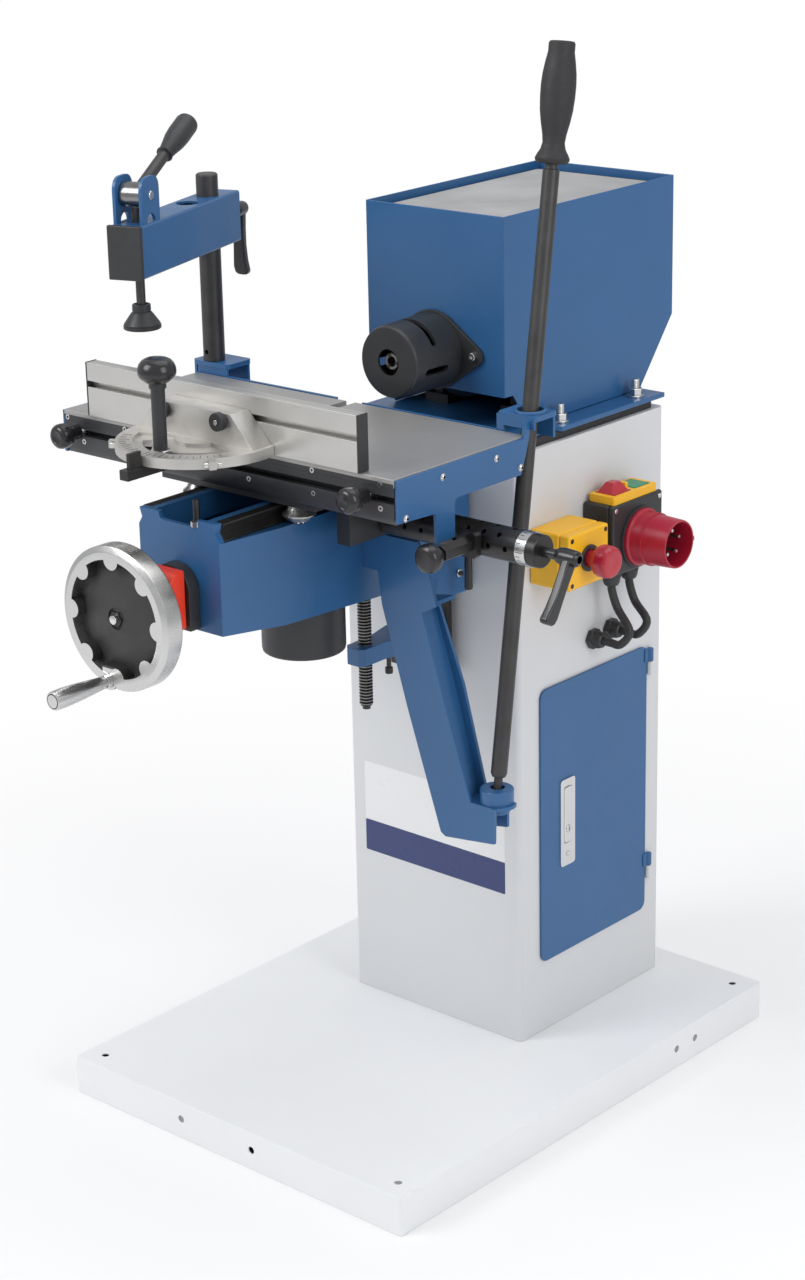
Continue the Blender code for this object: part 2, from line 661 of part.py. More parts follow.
def smooth_route(knots, count):
    """Points on a Catmull-Rom curve through the knots."""
    knots = [Vector(k) for k in knots]
    ends = [2 * knots[0] - knots[1]] + knots + [2 * knots[-1] - knots[-2]]
    points = []
    pieces = len(knots) - 1
    for i in range(count):
        place = i / (count - 1) * pieces
        k = min(int(place), pieces - 1)
        t = place - k
        a, b, c, d = ends[k:k + 4]
        points.append(0.5 * (2 * b + (c - a) * t + (2 * a - 5 * b + 4 * c - d) * t * t
                             + (3 * b - a - 3 * c + d) * t ** 3))
    return points


def control_cable(spot, wall_spot, name):
    """A short cable from the switch box back into the cabinet, with a gland at each end."""
    x0, z0 = SWITCH_BOX[0][0], SWITCH_BOX[0][2]
    x, y = spot
    wall_y, wall_z = wall_spot
    start = Vector((x, y, z0 - 0.014))
    finish = Vector((x0 + 0.020, wall_y, wall_z))
    knots = [start, start + Vector((0.001, 0.0, -0.012)), start + Vector((0.008, 0.002, -0.034)),
             Vector((x0 + 0.056, (y + wall_y) / 2, wall_z + 0.020)),
             finish + Vector((0.025, 0.0, 0.001)), finish + Vector((0.010, 0, 0)), finish]
    cable = tube(smooth_route(knots, 11), 0.0052, 1)
    top = turned((x, y, z0 - GAP), (x, y, 0), [(0.0, 0.013), (0.009, 0.013), (0.017, 0.0095)], 8)
    wall = turned((x0, wall_y, wall_z), (1, wall_y, wall_z), [(0.0, 0.013), (0.010, 0.013), (0.024, 0.0085)],
                  8)
    fuse(cable, top, wall)
    return part(cable, name, DARK_RUBBER)


# Vertical guide and lift

def guide_way():
    """The upright way bolted to the cabinet's front, with a T-shaped section."""
    w = GUIDE_HALF_WIDTH
    front = GUIDE_FRONT
    back = CABINET_FRONT - GAP
    outline = [(-w, front), (w, front), (w, front + 0.008), (w - 0.014, front + 0.008), (w - 0.014, back),
               (-w + 0.014, back), (-w + 0.014, front + 0.008), (-w, front + 0.008)]
    way = prism(outline, 'Z', GUIDE_BOTTOM, GUIDE_TOP)
    # The screw runs in a channel down the middle of the way's front
    cut(way, box((-0.010, front - 0.01, GUIDE_BOTTOM - 0.01), (0.010, front + 0.004, GUIDE_TOP + 0.01)))
    return part(way, "guide_way", BLACK_STEEL)


def lift_bracket():
    """The cast bracket that holds the lift nut, bolted to the guide, with a stop screw below."""
    front = LIFT_Y - 0.022
    back = GUIDE_FRONT - GAP
    outline = [(-0.015, front + 0.006), (-0.009, front), (0.009, front), (0.015, front + 0.006),
               (0.015, LIFT_Y + 0.024), (0.026, -0.030), (0.030, back), (-0.030, back), (-0.026, -0.030),
               (-0.015, LIFT_Y + 0.024)]
    bracket = prism(outline, 'Z', 0.570, 0.592)
    fuse(bracket, box((-0.032, back - 0.010, 0.545), (0.032, back, 0.593)))
    cut(bracket, rod((0, LIFT_Y, 0.5), (0, LIFT_Y, 0.7), SCREW_RADIUS + GAP, 16))
    stop = turned((0.006, LIFT_Y + 0.036, 0.5715), (0.006, LIFT_Y + 0.036, 0.0),
                  [(0.0, 0.003), (0.018, 0.003), (0.018, 0.005), (0.026, 0.005)], 8)
    fuse(bracket, stop)
    return part(bracket, "lift_bracket", BLUE_PAINT)


def lift_screw():
    """The lift screw with its bevel wheel on top, inside the knee."""
    screw = turned((0, LIFT_Y, 0.509), (0, LIFT_Y, 1.0),
                   [(0.0, 0.005), (0.004, 0.005), (0.006, SCREW_RADIUS), (0.188, SCREW_RADIUS),
                    (0.188, 0.010), (0.194, 0.010), (0.194, 0.022), (0.200, 0.024), (0.208, 0.017)], 16)
    return part(screw, "lift_screw", BLACK_STEEL, (0, LIFT_Y, 0))


# Knee

def knee_plan(inset, front_extra, back_extra):
    """The knee's plan outline: narrow at the front, full width behind the bend."""
    front = KNEE_FRONT + front_extra
    a = KNEE_HALF_FRONT - inset
    b = KNEE_HALF_BACK - inset
    back = KNEE_BACK - back_extra
    return [(-a, front), (a, front), (b, KNEE_BEND), (b, back), (-b, back), (-b, KNEE_BEND)]


def knee_housing():
    """The chute-shaped knee, its rail seats, and the saddle that runs on the upright way."""
    body = prism(knee_plan(0.0, 0.0, 0.0), 'Z', 0.672, KNEE_SHELF)
    # The underside slopes down towards the cabinet
    slope = [(KNEE_FRONT - 0.02, 0.6995), (KNEE_BEND, 0.690), (KNEE_BACK + 0.02, 0.676),
             (KNEE_BACK + 0.02, 0.60), (KNEE_FRONT - 0.02, 0.60)]
    cut(body, prism(slope, 'X', -0.1, 0.1))
    # Seats that carry the two rails, and the front wall's V ends
    v = 0.0055
    mid = (KNEE_SHELF + RAIL_TOP) / 2
    nose = [(-RAIL_OUT, KNEE_SHELF - 0.002), (RAIL_OUT, KNEE_SHELF - 0.002), (RAIL_OUT, KNEE_SHELF + 0.002),
            (RAIL_OUT - v, mid), (RAIL_OUT - 0.002, RAIL_TOP), (-RAIL_OUT + 0.002, RAIL_TOP),
            (-RAIL_OUT + v, mid), (-RAIL_OUT, KNEE_SHELF + 0.002)]
    fuse(body, prism(nose, 'Y', KNEE_FRONT, KNEE_FRONT + 0.008))
    for side in (-1, 1):
        edge = sorted((side * (RAIL_IN - GAP), side * (RAIL_IN - 0.010)))
        fuse(body, box((edge[0], KNEE_FRONT + 0.004, KNEE_SHELF - 0.002), (edge[1], -0.090, RAIL_TOP)))
    # The open chute: walls, and a floor that falls towards the port
    wall = 0.006
    inner = RAIL_IN - 0.010
    floor = [(KNEE_FRONT + wall, 0.800), (KNEE_FRONT + 0.030, 0.760), (PORT_Y - 0.052, 0.705),
             (-0.140, 0.705), (-0.140, 0.900), (KNEE_FRONT + wall, 0.900)]
    cut(body, prism(floor, 'X', -inner, inner))
    # Wider below the rails, up to the thin outer walls
    under_rails = [(-0.3930, 0.797), (-0.370, 0.760), (PORT_Y - 0.052, 0.705), (-0.140, 0.705),
                   (-0.140, 0.797)]
    cut(body, prism(under_rails, 'X', -0.057, 0.057))
    behind_bend = [(-0.306, 0.797), (-0.306, 0.7294), (PORT_Y - 0.052, 0.705), (-0.140, 0.705),
                   (-0.140, 0.797)]
    cut(body, prism(behind_bend, 'X', -0.069, 0.069))
    cut(body, box((-0.030, KNEE_FRONT - 0.01, 0.818), (0.030, KNEE_FRONT + 0.02, 0.86), 0.006, 2, 'Y'))
    cut(body, rod((0, PORT_Y, 0.60), (0, PORT_Y, 0.72), PORT_RADIUS - 0.012, 16))
    # Gear chamber round the lift screw's bevel wheel, open below
    cut(body, rod((0, LIFT_Y, 0.60), (0, LIFT_Y, 0.6985), 0.0112, 14))
    cut(body, rod((0, LIFT_Y, 0.6985), (0, LIFT_Y, 0.760), 0.0300, 16))
    cut(body, rod((0, -0.42, WHEEL_Z), (0, -0.100, WHEEL_Z), 0.0085, 14))
    # Saddle round the way
    low, high = 0.645, KNEE_SHELF
    saddle = box((-0.072, KNEE_BACK - 0.002, low), (0.072, 0.020, high), 0.003)
    grip = GUIDE_HALF_WIDTH + GAP
    clear = 0.001
    tee = [(-grip, GUIDE_FRONT - GAP), (grip, GUIDE_FRONT - GAP), (grip, GUIDE_FRONT + 0.008 + GAP),
           (grip - 0.014 + clear, GUIDE_FRONT + 0.008 + GAP), (grip - 0.014 + clear, 0.05),
           (-grip + 0.014 - clear, 0.05), (-grip + 0.014 - clear, GUIDE_FRONT + 0.008 + GAP),
           (-grip, GUIDE_FRONT + 0.008 + GAP)]
    cut(saddle, prism(tee, 'Z', low - 0.01, high + 0.01))
    fuse(body, saddle)
    # A pocket below lets the saddle come down over the lift bracket
    cut(body, box((-0.0335, KNEE_BACK - 0.010, low - 0.01), (0.0335, GUIDE_FRONT, 0.6715)))
    # The stop screw with its nut, standing in the front wall
    stop = turned((0.026, KNEE_FRONT + 0.004, RAIL_TOP - 0.0105), (0.026, KNEE_FRONT + 0.004, 1.0),
                  [(0.0, 0.0035), (0.002, 0.0035), (0.002, 0.0070), (0.008, 0.0070), (0.008, 0.0038),
                   (0.033, 0.0038)], 8)
    fuse(body, stop)
    # Tapped boss for the lock handle
    fuse(body, rod((0.070, -0.020, 0.722), (0.078, -0.020, 0.722), 0.011, 14))
    return part(body, "knee_housing", BLUE_PAINT)


def knee_rail(side, name):
    """A hardened rail with a V groove along its outer side, for the carriage's rollers."""
    v = 0.0065
    mid = (KNEE_SHELF + RAIL_TOP) / 2
    low = KNEE_SHELF + GAP
    outline = [(side * RAIL_IN, low), (side * RAIL_OUT, low), (side * RAIL_OUT, low + 0.002),
               (side * (RAIL_OUT - v), mid), (side * RAIL_OUT, RAIL_TOP - 0.002),
               (side * RAIL_OUT, RAIL_TOP), (side * RAIL_IN, RAIL_TOP)]
    rail = prism(outline, 'Y', KNEE_FRONT + 0.008 + GAP, -0.090)
    return part(rail, name, BLACK_STEEL)


def lever_arm():
    """The folded arm that reaches down to the lever's ball: two sheets, the web between them, and the cup."""
    t = ARM_SHEET
    root = KNEE_HALF_BACK + GAP
    front = [(root, 0.725), (0.0970, 0.725), (0.1022, 0.6855), (0.1381, 0.5666), (0.1860, 0.4220),
             (0.1930, 0.4180), (0.2660, 0.4272), (0.2672, 0.4705), (0.2318, 0.4703), (0.1970, 0.5752),
             (0.1627, 0.6862), (0.1849, 0.6986), (0.1716, 0.7423), (0.1560, 0.7700), (root, 0.7700)]
    back = [(root, 0.725), (0.0970, 0.725), (0.1022, 0.6855), (0.1381, 0.5666), (0.1860, 0.4280),
            (0.1930, 0.4245), (0.2600, 0.4370), (0.2600, 0.4705), (0.2300, 0.4703), (0.1959, 0.5996),
            (0.1456, 0.7282), (0.1300, 0.7700), (root, 0.7700)]
    arm = prism(front, 'Y', ARM_FRONT, ARM_FRONT + t)
    fuse(arm, prism(back, 'Y', ARM_BACK - t, ARM_BACK))
    # The web, its fold at the top, and the end sheet against the knee
    web = [(0.2205, 0.4650), (0.1845, 0.5970), (0.1535, 0.6940), (0.1850, 0.7000), (0.1835, 0.7040),
           (0.1480, 0.6975), (0.1803, 0.5960), (0.2165, 0.4640)]
    fuse(arm, prism(web, 'Y', ARM_FRONT + 0.001, ARM_BACK - 0.001))
    fuse(arm, box((root, ARM_FRONT + 0.001, 0.7255), (root + t, ARM_BACK - 0.001, 0.7695)))
    # The cup on its shelf, and the round seat inside
    ball = LEVER_BALL
    shelf = [(0.217, ARM_FRONT + 0.001)]
    shelf += arc((ball.x, ball.y), 0.0232, -70, 25, 8)
    shelf += [(0.260, ARM_BACK - 0.001), (0.217, ARM_BACK - 0.001)]
    shelf = prism(shelf, 'Z', 0.4665, 0.4708)
    cup = turned((ball.x, ball.y, 0.4585), (ball.x, ball.y, 1.0),
                 [(0.0, 0.0150), (0.0100, 0.0160), (0.0115, 0.0198), (0.0280, 0.0198), (0.0293, 0.0186)], 24)
    fuse(arm, shelf, cup)
    mouth = Vector((ball.x - 0.0004, ball.y + 0.0018, ball.z))
    cut(arm, sphere(ball, 0.0136), rod(mouth, mouth + Vector((0, 0, 0.024)), 0.0086, 16))
    return part(arm, "lever_arm", BLUE_PAINT)


def dust_port():
    port = turned((0, PORT_Y, 0.6815), (0, PORT_Y, 0.0),
                  [(0.0, PORT_RADIUS), (0.060, PORT_RADIUS), (0.0645, 0.0485)], 24)
    cut(port, rod((0, PORT_Y, 0.60), (0, PORT_Y, 0.70), PORT_RADIUS - 0.003, 24))
    return part(port, "dust_port", BLACK_PLASTIC)


def position_indicator():
    """The wedge-shaped counter on the wheel's shaft, on its base."""
    back = KNEE_FRONT - GAP
    outline = [(-0.030, WHEEL_Z - 0.032), (0.030, WHEEL_Z - 0.032)]
    outline += arc((0.0, WHEEL_Z + 0.012), 0.030, 0, 180, 8)
    base = prism(outline, 'Y', back - 0.020, back)
    side = [(back - 0.018, WHEEL_Z - 0.029), (back - 0.058, WHEEL_Z - 0.029), (back - 0.054, WHEEL_Z + 0.012),
            (back - 0.034, WHEEL_Z + 0.040), (back - 0.018, WHEEL_Z + 0.040)]
    wedge = prism(side, 'X', -0.026, 0.026)
    fuse(base, wedge)
    cut(base, rod((0, back - 0.1, WHEEL_Z), (0, back + 0.01, WHEEL_Z), 0.0078, 14))
    return part(base, "position_indicator", ORANGE)


def lock_handle():
    """The knee's lock: a clamping screw with a hanging bar."""
    hub = turned((0.078 + GAP, -0.020, 0.722), (1.0, -0.020, 0.722),
                 [(0.0, 0.006), (0.014, 0.006), (0.014, 0.009), (0.032, 0.009)], 12)
    fuse(hub, rod((0.101, -0.020, 0.722), (0.101, -0.020, 0.662), 0.0050, 8, chamfer=0.001))
    return part(hub, "lock_handle", BLACK_STEEL, (0.101, -0.020, 0.722))


def handwheel():
    """The wheel: a wide rim, a dished disc with finger scallops, and a hub."""
    centre = (0, WHEEL_FRONT, WHEEL_Z)
    blank = turned(centre, (0, 0, WHEEL_Z), [(0.0, WHEEL_RADIUS - 0.004), (0.004, WHEEL_RADIUS),
                                             (WHEEL_DEPTH - 0.003, WHEEL_RADIUS),
                                             (WHEEL_DEPTH, WHEEL_RADIUS - 0.003), (WHEEL_DEPTH, 0.018),
                                             (WHEEL_DEPTH + 0.008, 0.016)], 32)
    # The dish: a scalloped pocket with round lobes, its bottom sinking to the hub
    scallops = []
    for i in range(WHEEL_SCALLOPS * 4):
        turn = 2 * math.pi * i / (WHEEL_SCALLOPS * 4)
        radius = 0.0615 + 0.0042 * math.cos(WHEEL_SCALLOPS * turn)
        scallops.append((radius * math.cos(turn), WHEEL_Z + radius * math.sin(turn)))
    cut(blank, prism(scallops, 'Y', WHEEL_FRONT - 0.01, WHEEL_FRONT + 0.016))
    hub = turned((0, WHEEL_FRONT + 0.004, WHEEL_Z), (0, 0, WHEEL_Z), [(0.0, 0.013), (0.014, 0.017)], 16)
    fuse(blank, hub)
    # The boss that carries the grip's spindle
    boss = rod((GRIP_X, WHEEL_FRONT + 0.001, GRIP_Z), (GRIP_X, WHEEL_FRONT + 0.020, GRIP_Z), 0.011, 12)
    fuse(blank, boss)
    cut(blank, rod((GRIP_X, WHEEL_FRONT - 0.01, GRIP_Z), (GRIP_X, WHEEL_FRONT + 0.012, GRIP_Z), 0.0045, 12))
    # The shaft, with its fixing screw in front and the bevel pinion at the far end
    start = WHEEL_FRONT - 0.002
    reach = LIFT_Y - 0.0245 - start
    shaft = turned((0, start, WHEEL_Z), (0, 0, WHEEL_Z),
                   [(0.0, 0.0045), (0.001, 0.0058), (0.008, 0.0058), (0.008, 0.0067), (reach - 0.012, 0.0067),
                    (reach - 0.012, 0.0080), (reach - 0.004, 0.0080), (reach, 0.0070)], 16)
    fuse(blank, shaft)
    return part(blank, "handwheel", POLISHED, (0, 0, WHEEL_Z))


def wheel_grip():
    """The turning grip: a long taper on its spindle."""
    grip = turned((GRIP_X, WHEEL_FRONT + 0.011, GRIP_Z), (GRIP_X, -1, GRIP_Z),
                  [(0.0, 0.0040), (0.0115, 0.0040), (0.0115, 0.0080), (0.020, 0.0080), (0.021, 0.0065),
                   (0.026, 0.0070), (0.060, 0.0105), (0.086, 0.0112), (0.093, 0.0100), (0.095, 0.0080)], 16)
    return part(grip, "wheel_grip", POLISHED, (GRIP_X, 0, GRIP_Z))


# Lever

def lever_point(z):
    """The lever's centre line at a height."""
    return LEVER_BALL + (COLLAR - LEVER_BALL) * ((z - LEVER_BALL.z) / (COLLAR.z - LEVER_BALL.z))


LEVER_AXIS = (COLLAR - LEVER_BALL).normalized()


def sphere(centre, radius):
    bm = bmesh.new()
    bmesh.ops.create_uvsphere(bm, u_segments=16, v_segments=10, radius=radius)
    bmesh.ops.translate(bm, vec=centre, verts=bm.verts)
    return add_mesh(bm)


def ball_seat():
    """The half shell that the lever's ball lies in, turning with the lever's pitch."""
    seat = sphere(LEVER_BALL, 0.0128)
    x, y, z = LEVER_BALL
    upper_half = box((x - 0.03, y - 0.03, z - 0.0007), (x + 0.03, y + 0.03, z + 0.03))
    cut(seat, sphere(LEVER_BALL, 0.0112), upper_half)
    return part(seat, "ball_seat", ZINC, LEVER_BALL)


LEVER_TOP = (lever_point(LEVER_TOP_Z) - LEVER_BALL).length
GRIP_FOOT = LEVER_TOP - 0.1392


def lever_rod():
    """The straight bar, necked down to its ball."""
    bar = turned(LEVER_BALL, LEVER_BALL + LEVER_AXIS, [(0.0, 0.005), (0.0238, 0.005), (0.0238, 0.0075),
                                                       (0.0280, LEVER_RADIUS), (GRIP_FOOT, LEVER_RADIUS),
                                                       (GRIP_FOOT + 0.0005, 0.0075),
                                                       (LEVER_TOP - 0.030, 0.0075)], 14)
    fuse(bar, sphere(LEVER_BALL, 0.0105))
    return part(bar, "lever_rod", BLACK_STEEL, LEVER_BALL)


def lever_grip():
    """The rubber grip: a flared collar, a narrow waist and a swelling body with a flat end."""
    foot = GRIP_FOOT + 0.006
    length = LEVER_TOP - foot
    grip = turned(LEVER_BALL + LEVER_AXIS * foot, LEVER_BALL + LEVER_AXIS * 2,
                  [(0.0, 0.0175), (0.005, 0.0195), (0.012, 0.0160), (0.024, 0.0125), (0.045, 0.0165),
                   (0.070, 0.0195), (0.095, 0.0195), (length - 0.012, 0.0150), (length - 0.002, 0.0150),
                   (length, 0.0130)], 20)
    cut(grip, rod(LEVER_BALL + LEVER_AXIS * (foot - 0.01), LEVER_BALL + LEVER_AXIS * (LEVER_TOP - 0.024),
                  0.0078, 14))
    return part(grip, "lever_grip", DARK_RUBBER, LEVER_BALL)


# Cross carriage

CARRIAGE_LOW = RAIL_TOP + 0.0025
CARRIAGE_TOP = RAIL_BOTTOM - 0.0012
CHEEK_IN = 0.1015
CHEEK_OUT = 0.121
WAY_Y = (-0.280, -0.130)


def cross_carriage():
    """The carriage: a plate under the table, two way bars on top, cheeks at its ends, roller pins below."""
    plate = box((-CHEEK_OUT, -0.305, CARRIAGE_LOW), (CHEEK_OUT, -0.110, CARRIAGE_TOP))
    # Dovetail bars that guide the table's long travel
    for y in WAY_Y:
        bar = [(y - 0.008, CARRIAGE_TOP - 0.002), (y + 0.008, CARRIAGE_TOP - 0.002),
               (y + 0.008, CARRIAGE_TOP + 0.004), (y + 0.013, CARRIAGE_TOP + 0.014),
               (y - 0.013, CARRIAGE_TOP + 0.014), (y - 0.008, CARRIAGE_TOP + 0.004)]
        fuse(plate, prism(bar, 'X', -CHEEK_OUT, CHEEK_OUT))
    left = box((-CHEEK_OUT, -0.225, 0.790), (-CHEEK_IN, -0.130, CARRIAGE_LOW + 0.002))
    right = box((CHEEK_IN, -0.250, 0.776), (CHEEK_OUT, -0.130, CARRIAGE_LOW + 0.002))
    fuse(plate, left, right)
    cut(plate, rod((CHEEK_IN - 0.01, TUBE_Y, TUBE_Z), (CHEEK_OUT + 0.01, TUBE_Y, TUBE_Z), 0.0123, 16))
    for side in (-1, 1):
        for y in ROLLER_Y:
            pin = rod((side * ROLLER_X, y, ROLLER_Z - 0.0090), (side * ROLLER_X, y, CARRIAGE_LOW + 0.001),
                      0.0050, 12)
            nut = hexagon((side * ROLLER_X, y), 0.013, KNEE_SHELF + 0.0009, ROLLER_Z - 0.0076)
            fuse(plate, fuse(pin, nut))
    return part(plate, "cross_carriage", BLACK_STEEL)


def carriage_roller(side, y, name):
    """A V-edged track roller that runs in the rail's groove."""
    x = side * ROLLER_X
    low = ROLLER_Z - 0.0072
    roller = turned((x, y, low), (x, y, 1.0), [(0.0, 0.0125), (0.0025, 0.0145), (0.0062, ROLLER_RADIUS),
                                               (0.0082, ROLLER_RADIUS), (0.0125, 0.0145), (0.0180, 0.0125)],
                    16)
    cut(roller, rod((x, y, low - 0.01), (x, y, low + 0.04), 0.0050 + GAP, 12))
    return part(roller, name, ZINC, (x, y, 0))


def index_tube():
    """The index tube with its rows of holes, spigot, scale ring and end cap."""
    start = CHEEK_OUT + GAP
    body = turned((start - 0.019, TUBE_Y, TUBE_Z), (1, TUBE_Y, TUBE_Z),
                  [(0.0, 0.012), (0.019, 0.012), (0.019, TUBE_RADIUS),
                   (TUBE_END - 0.024 - start + 0.019, TUBE_RADIUS),
                   (TUBE_END - 0.024 - start + 0.019, TUBE_RADIUS + 0.0008),
                   (TUBE_END - 0.012 - start + 0.019, TUBE_RADIUS + 0.0008),
                   (TUBE_END - 0.012 - start + 0.019, TUBE_RADIUS - 0.0004),
                   (TUBE_END - start + 0.019, TUBE_RADIUS - 0.0004)], 20)
    # The row of index holes that the plunger drops into
    for i in range(7):
        x = PLUNGER_X - 0.096 + 0.024 * i
        cut(body, rod((x, TUBE_Y - TUBE_RADIUS - 0.003, TUBE_Z), (x, TUBE_Y - 0.012, TUBE_Z), 0.0034, 6))
    cut(body, rod((TUBE_END - 0.020, TUBE_Y, TUBE_Z), (TUBE_END + 0.01, TUBE_Y, TUBE_Z), 0.0068, 12))
    return part(body, "index_tube", BLACK_STEEL, (0, TUBE_Y, TUBE_Z))


def clamp_lever(root, axis, reach, name, look=None, offset=0.0):
    """An adjustable clamping lever: threaded stud, tapered hub and a curved flat handle."""
    root = Vector(root)
    axis = Vector(axis).normalized()
    reach = Vector(reach)
    hub = turned(root - axis * offset, root + axis,
                 [(0.0, 0.0060), (offset + 0.020, 0.0060), (offset + 0.021, 0.0085), (offset + 0.028, 0.0100),
                  (offset + 0.047, 0.0085), (offset + 0.049, 0.0060)], 12)
    # The handle: a bar that widens towards its rounded, bent tip
    side = axis.cross(reach.normalized())
    foot = root + axis * 0.036
    length = reach.length
    outline = [(-0.0075, 0.0), (-0.0070, length * 0.5), (-0.0090, length * 0.78), (-0.0115, length * 0.97),
               (-0.0060, length), (0.0045, length * 0.985), (0.0085, length * 0.85), (0.0080, length * 0.5),
               (0.0085, 0.0)]
    down = reach.normalized()
    placement = Matrix((
        (side.x, down.x, axis.x, foot.x),
        (side.y, down.y, axis.y, foot.y),
        (side.z, down.z, axis.z, foot.z),
        (0, 0, 0, 1)))
    fuse(hub, outline_solid(outline, 0.0110, placement))
    return part(hub, name, look or BLACK_PLASTIC, root)


def index_lever():
    root = (TUBE_END + GAP, TUBE_Y, TUBE_Z)
    return clamp_lever(root, (1, 0, 0), (0.0, -0.040, -0.066), "index_lever", offset=0.015)


# Table

def table_top():
    """The ground plate, with the gauge's groove across it."""
    plate = box((TABLE_LEFT + END_SHEET + GAP, TABLE_FRONT, TABLE_TOP - TABLE_PLATE),
                (TABLE_RIGHT - END_SHEET - GAP, TABLE_BACK, TABLE_TOP), 0.0008)
    fuse(plate, box((GAUGE_X - GROOVE_HALF - 0.005, TABLE_FRONT + 0.001, TABLE_TOP - GROOVE_FLOOR),
                    (GAUGE_X + GROOVE_HALF + 0.005, TABLE_BACK - 0.001, TABLE_TOP - TABLE_PLATE + 0.002)))
    cut(plate, box((GAUGE_X - GROOVE_HALF, TABLE_FRONT - 0.01, TABLE_TOP - 0.0125),
                   (GAUGE_X + GROOVE_HALF, TABLE_BACK + 0.01, TABLE_TOP + 0.01)))
    return part(plate, "table_top", GREY_TABLE)


def slide_block(y_low, y_high, way_y):
    """The dovetail slide under the table that runs on one of the carriage's bars."""
    left = TABLE_LEFT + END_SHEET + GAP + 0.02
    right = TABLE_RIGHT - END_SHEET - GAP - 0.02
    block = box((left, y_low, RAIL_BOTTOM + 0.0015), (right, y_high, TABLE_TOP - GROOVE_FLOOR - GAP))
    play = 0.0012
    neck = 0.008 + play
    wide = 0.013 + play * 2
    low = CARRIAGE_TOP + 0.004 - play
    high = CARRIAGE_TOP + 0.014 + play
    way = [(way_y - neck, 0.80), (way_y + neck, 0.80), (way_y + neck, low), (way_y + wide, high),
           (way_y - wide, high), (way_y - neck, low)]
    return cut(block, prism(way, 'X', left - 0.05, right + 0.05))


def table_rail(outline, slide, name, look, right=TABLE_RIGHT - END_SHEET - GAP):
    """A rail under the table's edge, with its slide, notched for the gauge's bar."""
    left = TABLE_LEFT + END_SHEET + GAP
    rail = prism(outline, 'X', left, right)
    fuse(rail, slide)
    low = min(y for y, _ in outline) - 0.05
    high = max(y for y, _ in outline) + 0.05
    notch = GROOVE_HALF + 0.005 + GAP
    cut(rail, box((GAUGE_X - notch, low, TABLE_TOP - GROOVE_FLOOR - GAP), (GAUGE_X + notch, high, TABLE_TOP)))
    return part(rail, name, look)


def front_rail():
    top = TABLE_TOP - TABLE_PLATE - GAP
    front = TABLE_FRONT + GAP
    outline = [(front, top), (front, SLOT_Z + 0.004), (front + 0.007, SLOT_Z + 0.004),
               (front + 0.007, SLOT_Z + 0.009), (front + 0.013, SLOT_Z + 0.009),
               (front + 0.013, SLOT_Z - 0.009), (front + 0.007, SLOT_Z - 0.009),
               (front + 0.007, SLOT_Z - 0.004), (front, SLOT_Z - 0.004), (front, RAIL_BOTTOM + 0.008),
               (front + 0.005, RAIL_BOTTOM), (front + 0.015, RAIL_BOTTOM),
               (front + 0.020, RAIL_BOTTOM + 0.008), (front + 0.020, top)]
    slide = slide_block(front + 0.018, WAY_Y[0] + 0.0215, WAY_Y[0])
    return table_rail(outline, slide, "front_rail", BLACK_STEEL)


def back_rail():
    top = TABLE_TOP - TABLE_PLATE - GAP
    outline = [(-0.105, top), (-0.105, RAIL_BOTTOM + 0.006), (-0.099, RAIL_BOTTOM),
               (TABLE_BACK + GAP, RAIL_BOTTOM), (TABLE_BACK + GAP, top)]
    slide = slide_block(WAY_Y[1] - 0.0215, -0.103, WAY_Y[1])
    # The lever swings past the right end
    cut(slide, box((0.212, -0.1040, 0.80), (0.30, -0.05, 0.90)))
    return table_rail(outline, slide, "back_rail", BLACK_STEEL, 0.212)


def right_end_plate():
    """The sheet at the table's right end, with the leg for the index plunger."""
    top = TABLE_TOP - 0.0015
    outline = [(TABLE_FRONT + 0.002, top), (TABLE_FRONT + 0.002, 0.841), (-0.2517, RAIL_BOTTOM),
               (-0.2508, 0.8035), (-0.2200, 0.8035), (-0.2200, 0.8440), (-0.2160, 0.8480), (-0.1040, 0.8480),
               (-0.0955, 0.8700), (-0.0925, 0.8800), (-0.0885, 0.8920), (-0.0885, 0.8965), (-0.0857, 0.8965),
               (-0.0857, 0.9070), (-0.0965, 0.9070), (-0.0985, top)]
    return prism(outline, 'X', TABLE_RIGHT - END_SHEET, TABLE_RIGHT)


def left_end_plate():
    top = TABLE_TOP - 0.0015
    back = TABLE_BACK + 0.0030
    outline = [(TABLE_FRONT + 0.002, top), (TABLE_FRONT + 0.002, RAIL_BOTTOM), (-0.2900, RAIL_BOTTOM),
               (-0.2800, 0.8480), (-0.1216, 0.8480), (-0.1130, 0.8385), (back, 0.8385), (back, top)]
    return prism(outline, 'X', TABLE_LEFT, TABLE_LEFT + END_SHEET)


BRACKET_TOP = 0.905
BRACKET_BACK = -0.045


def column_bracket():
    """The left end's sheet, folded along the back and up into the shelf for the clamp's column."""
    y0 = TABLE_BACK + 0.0018
    y1 = y0 + 0.004
    rail = box((TABLE_LEFT + 0.001, y0, 0.852), (-0.0435, y1, TABLE_TOP + 0.0005))
    top = prism(rounded((TABLE_LEFT - 0.006, y0 - 0.001), (-0.222, BRACKET_BACK), 0.006), 'Z',
                BRACKET_TOP - 0.006, BRACKET_TOP)
    front = box((TABLE_LEFT + 0.002, y0 + 0.0005, 0.880), (-0.224, y1 - 0.0005, BRACKET_TOP - 0.002))
    back = box((TABLE_LEFT - 0.003, BRACKET_BACK - 0.0045, 0.869),
               (-0.226, BRACKET_BACK - 0.0008, BRACKET_TOP - 0.002))
    side = box((TABLE_LEFT - 0.0052, y0 + 0.002, 0.868),
               (TABLE_LEFT - 0.0012, BRACKET_BACK - 0.0015, BRACKET_TOP - 0.0015))
    fuse(rail, front, top, back, side, left_end_plate())
    cut(rail, rod((COLUMN.x, COLUMN.y, 0.85), (COLUMN.x, COLUMN.y, 0.95), 0.0100, 14))
    return part(rail, "column_bracket", BLUE_PAINT)


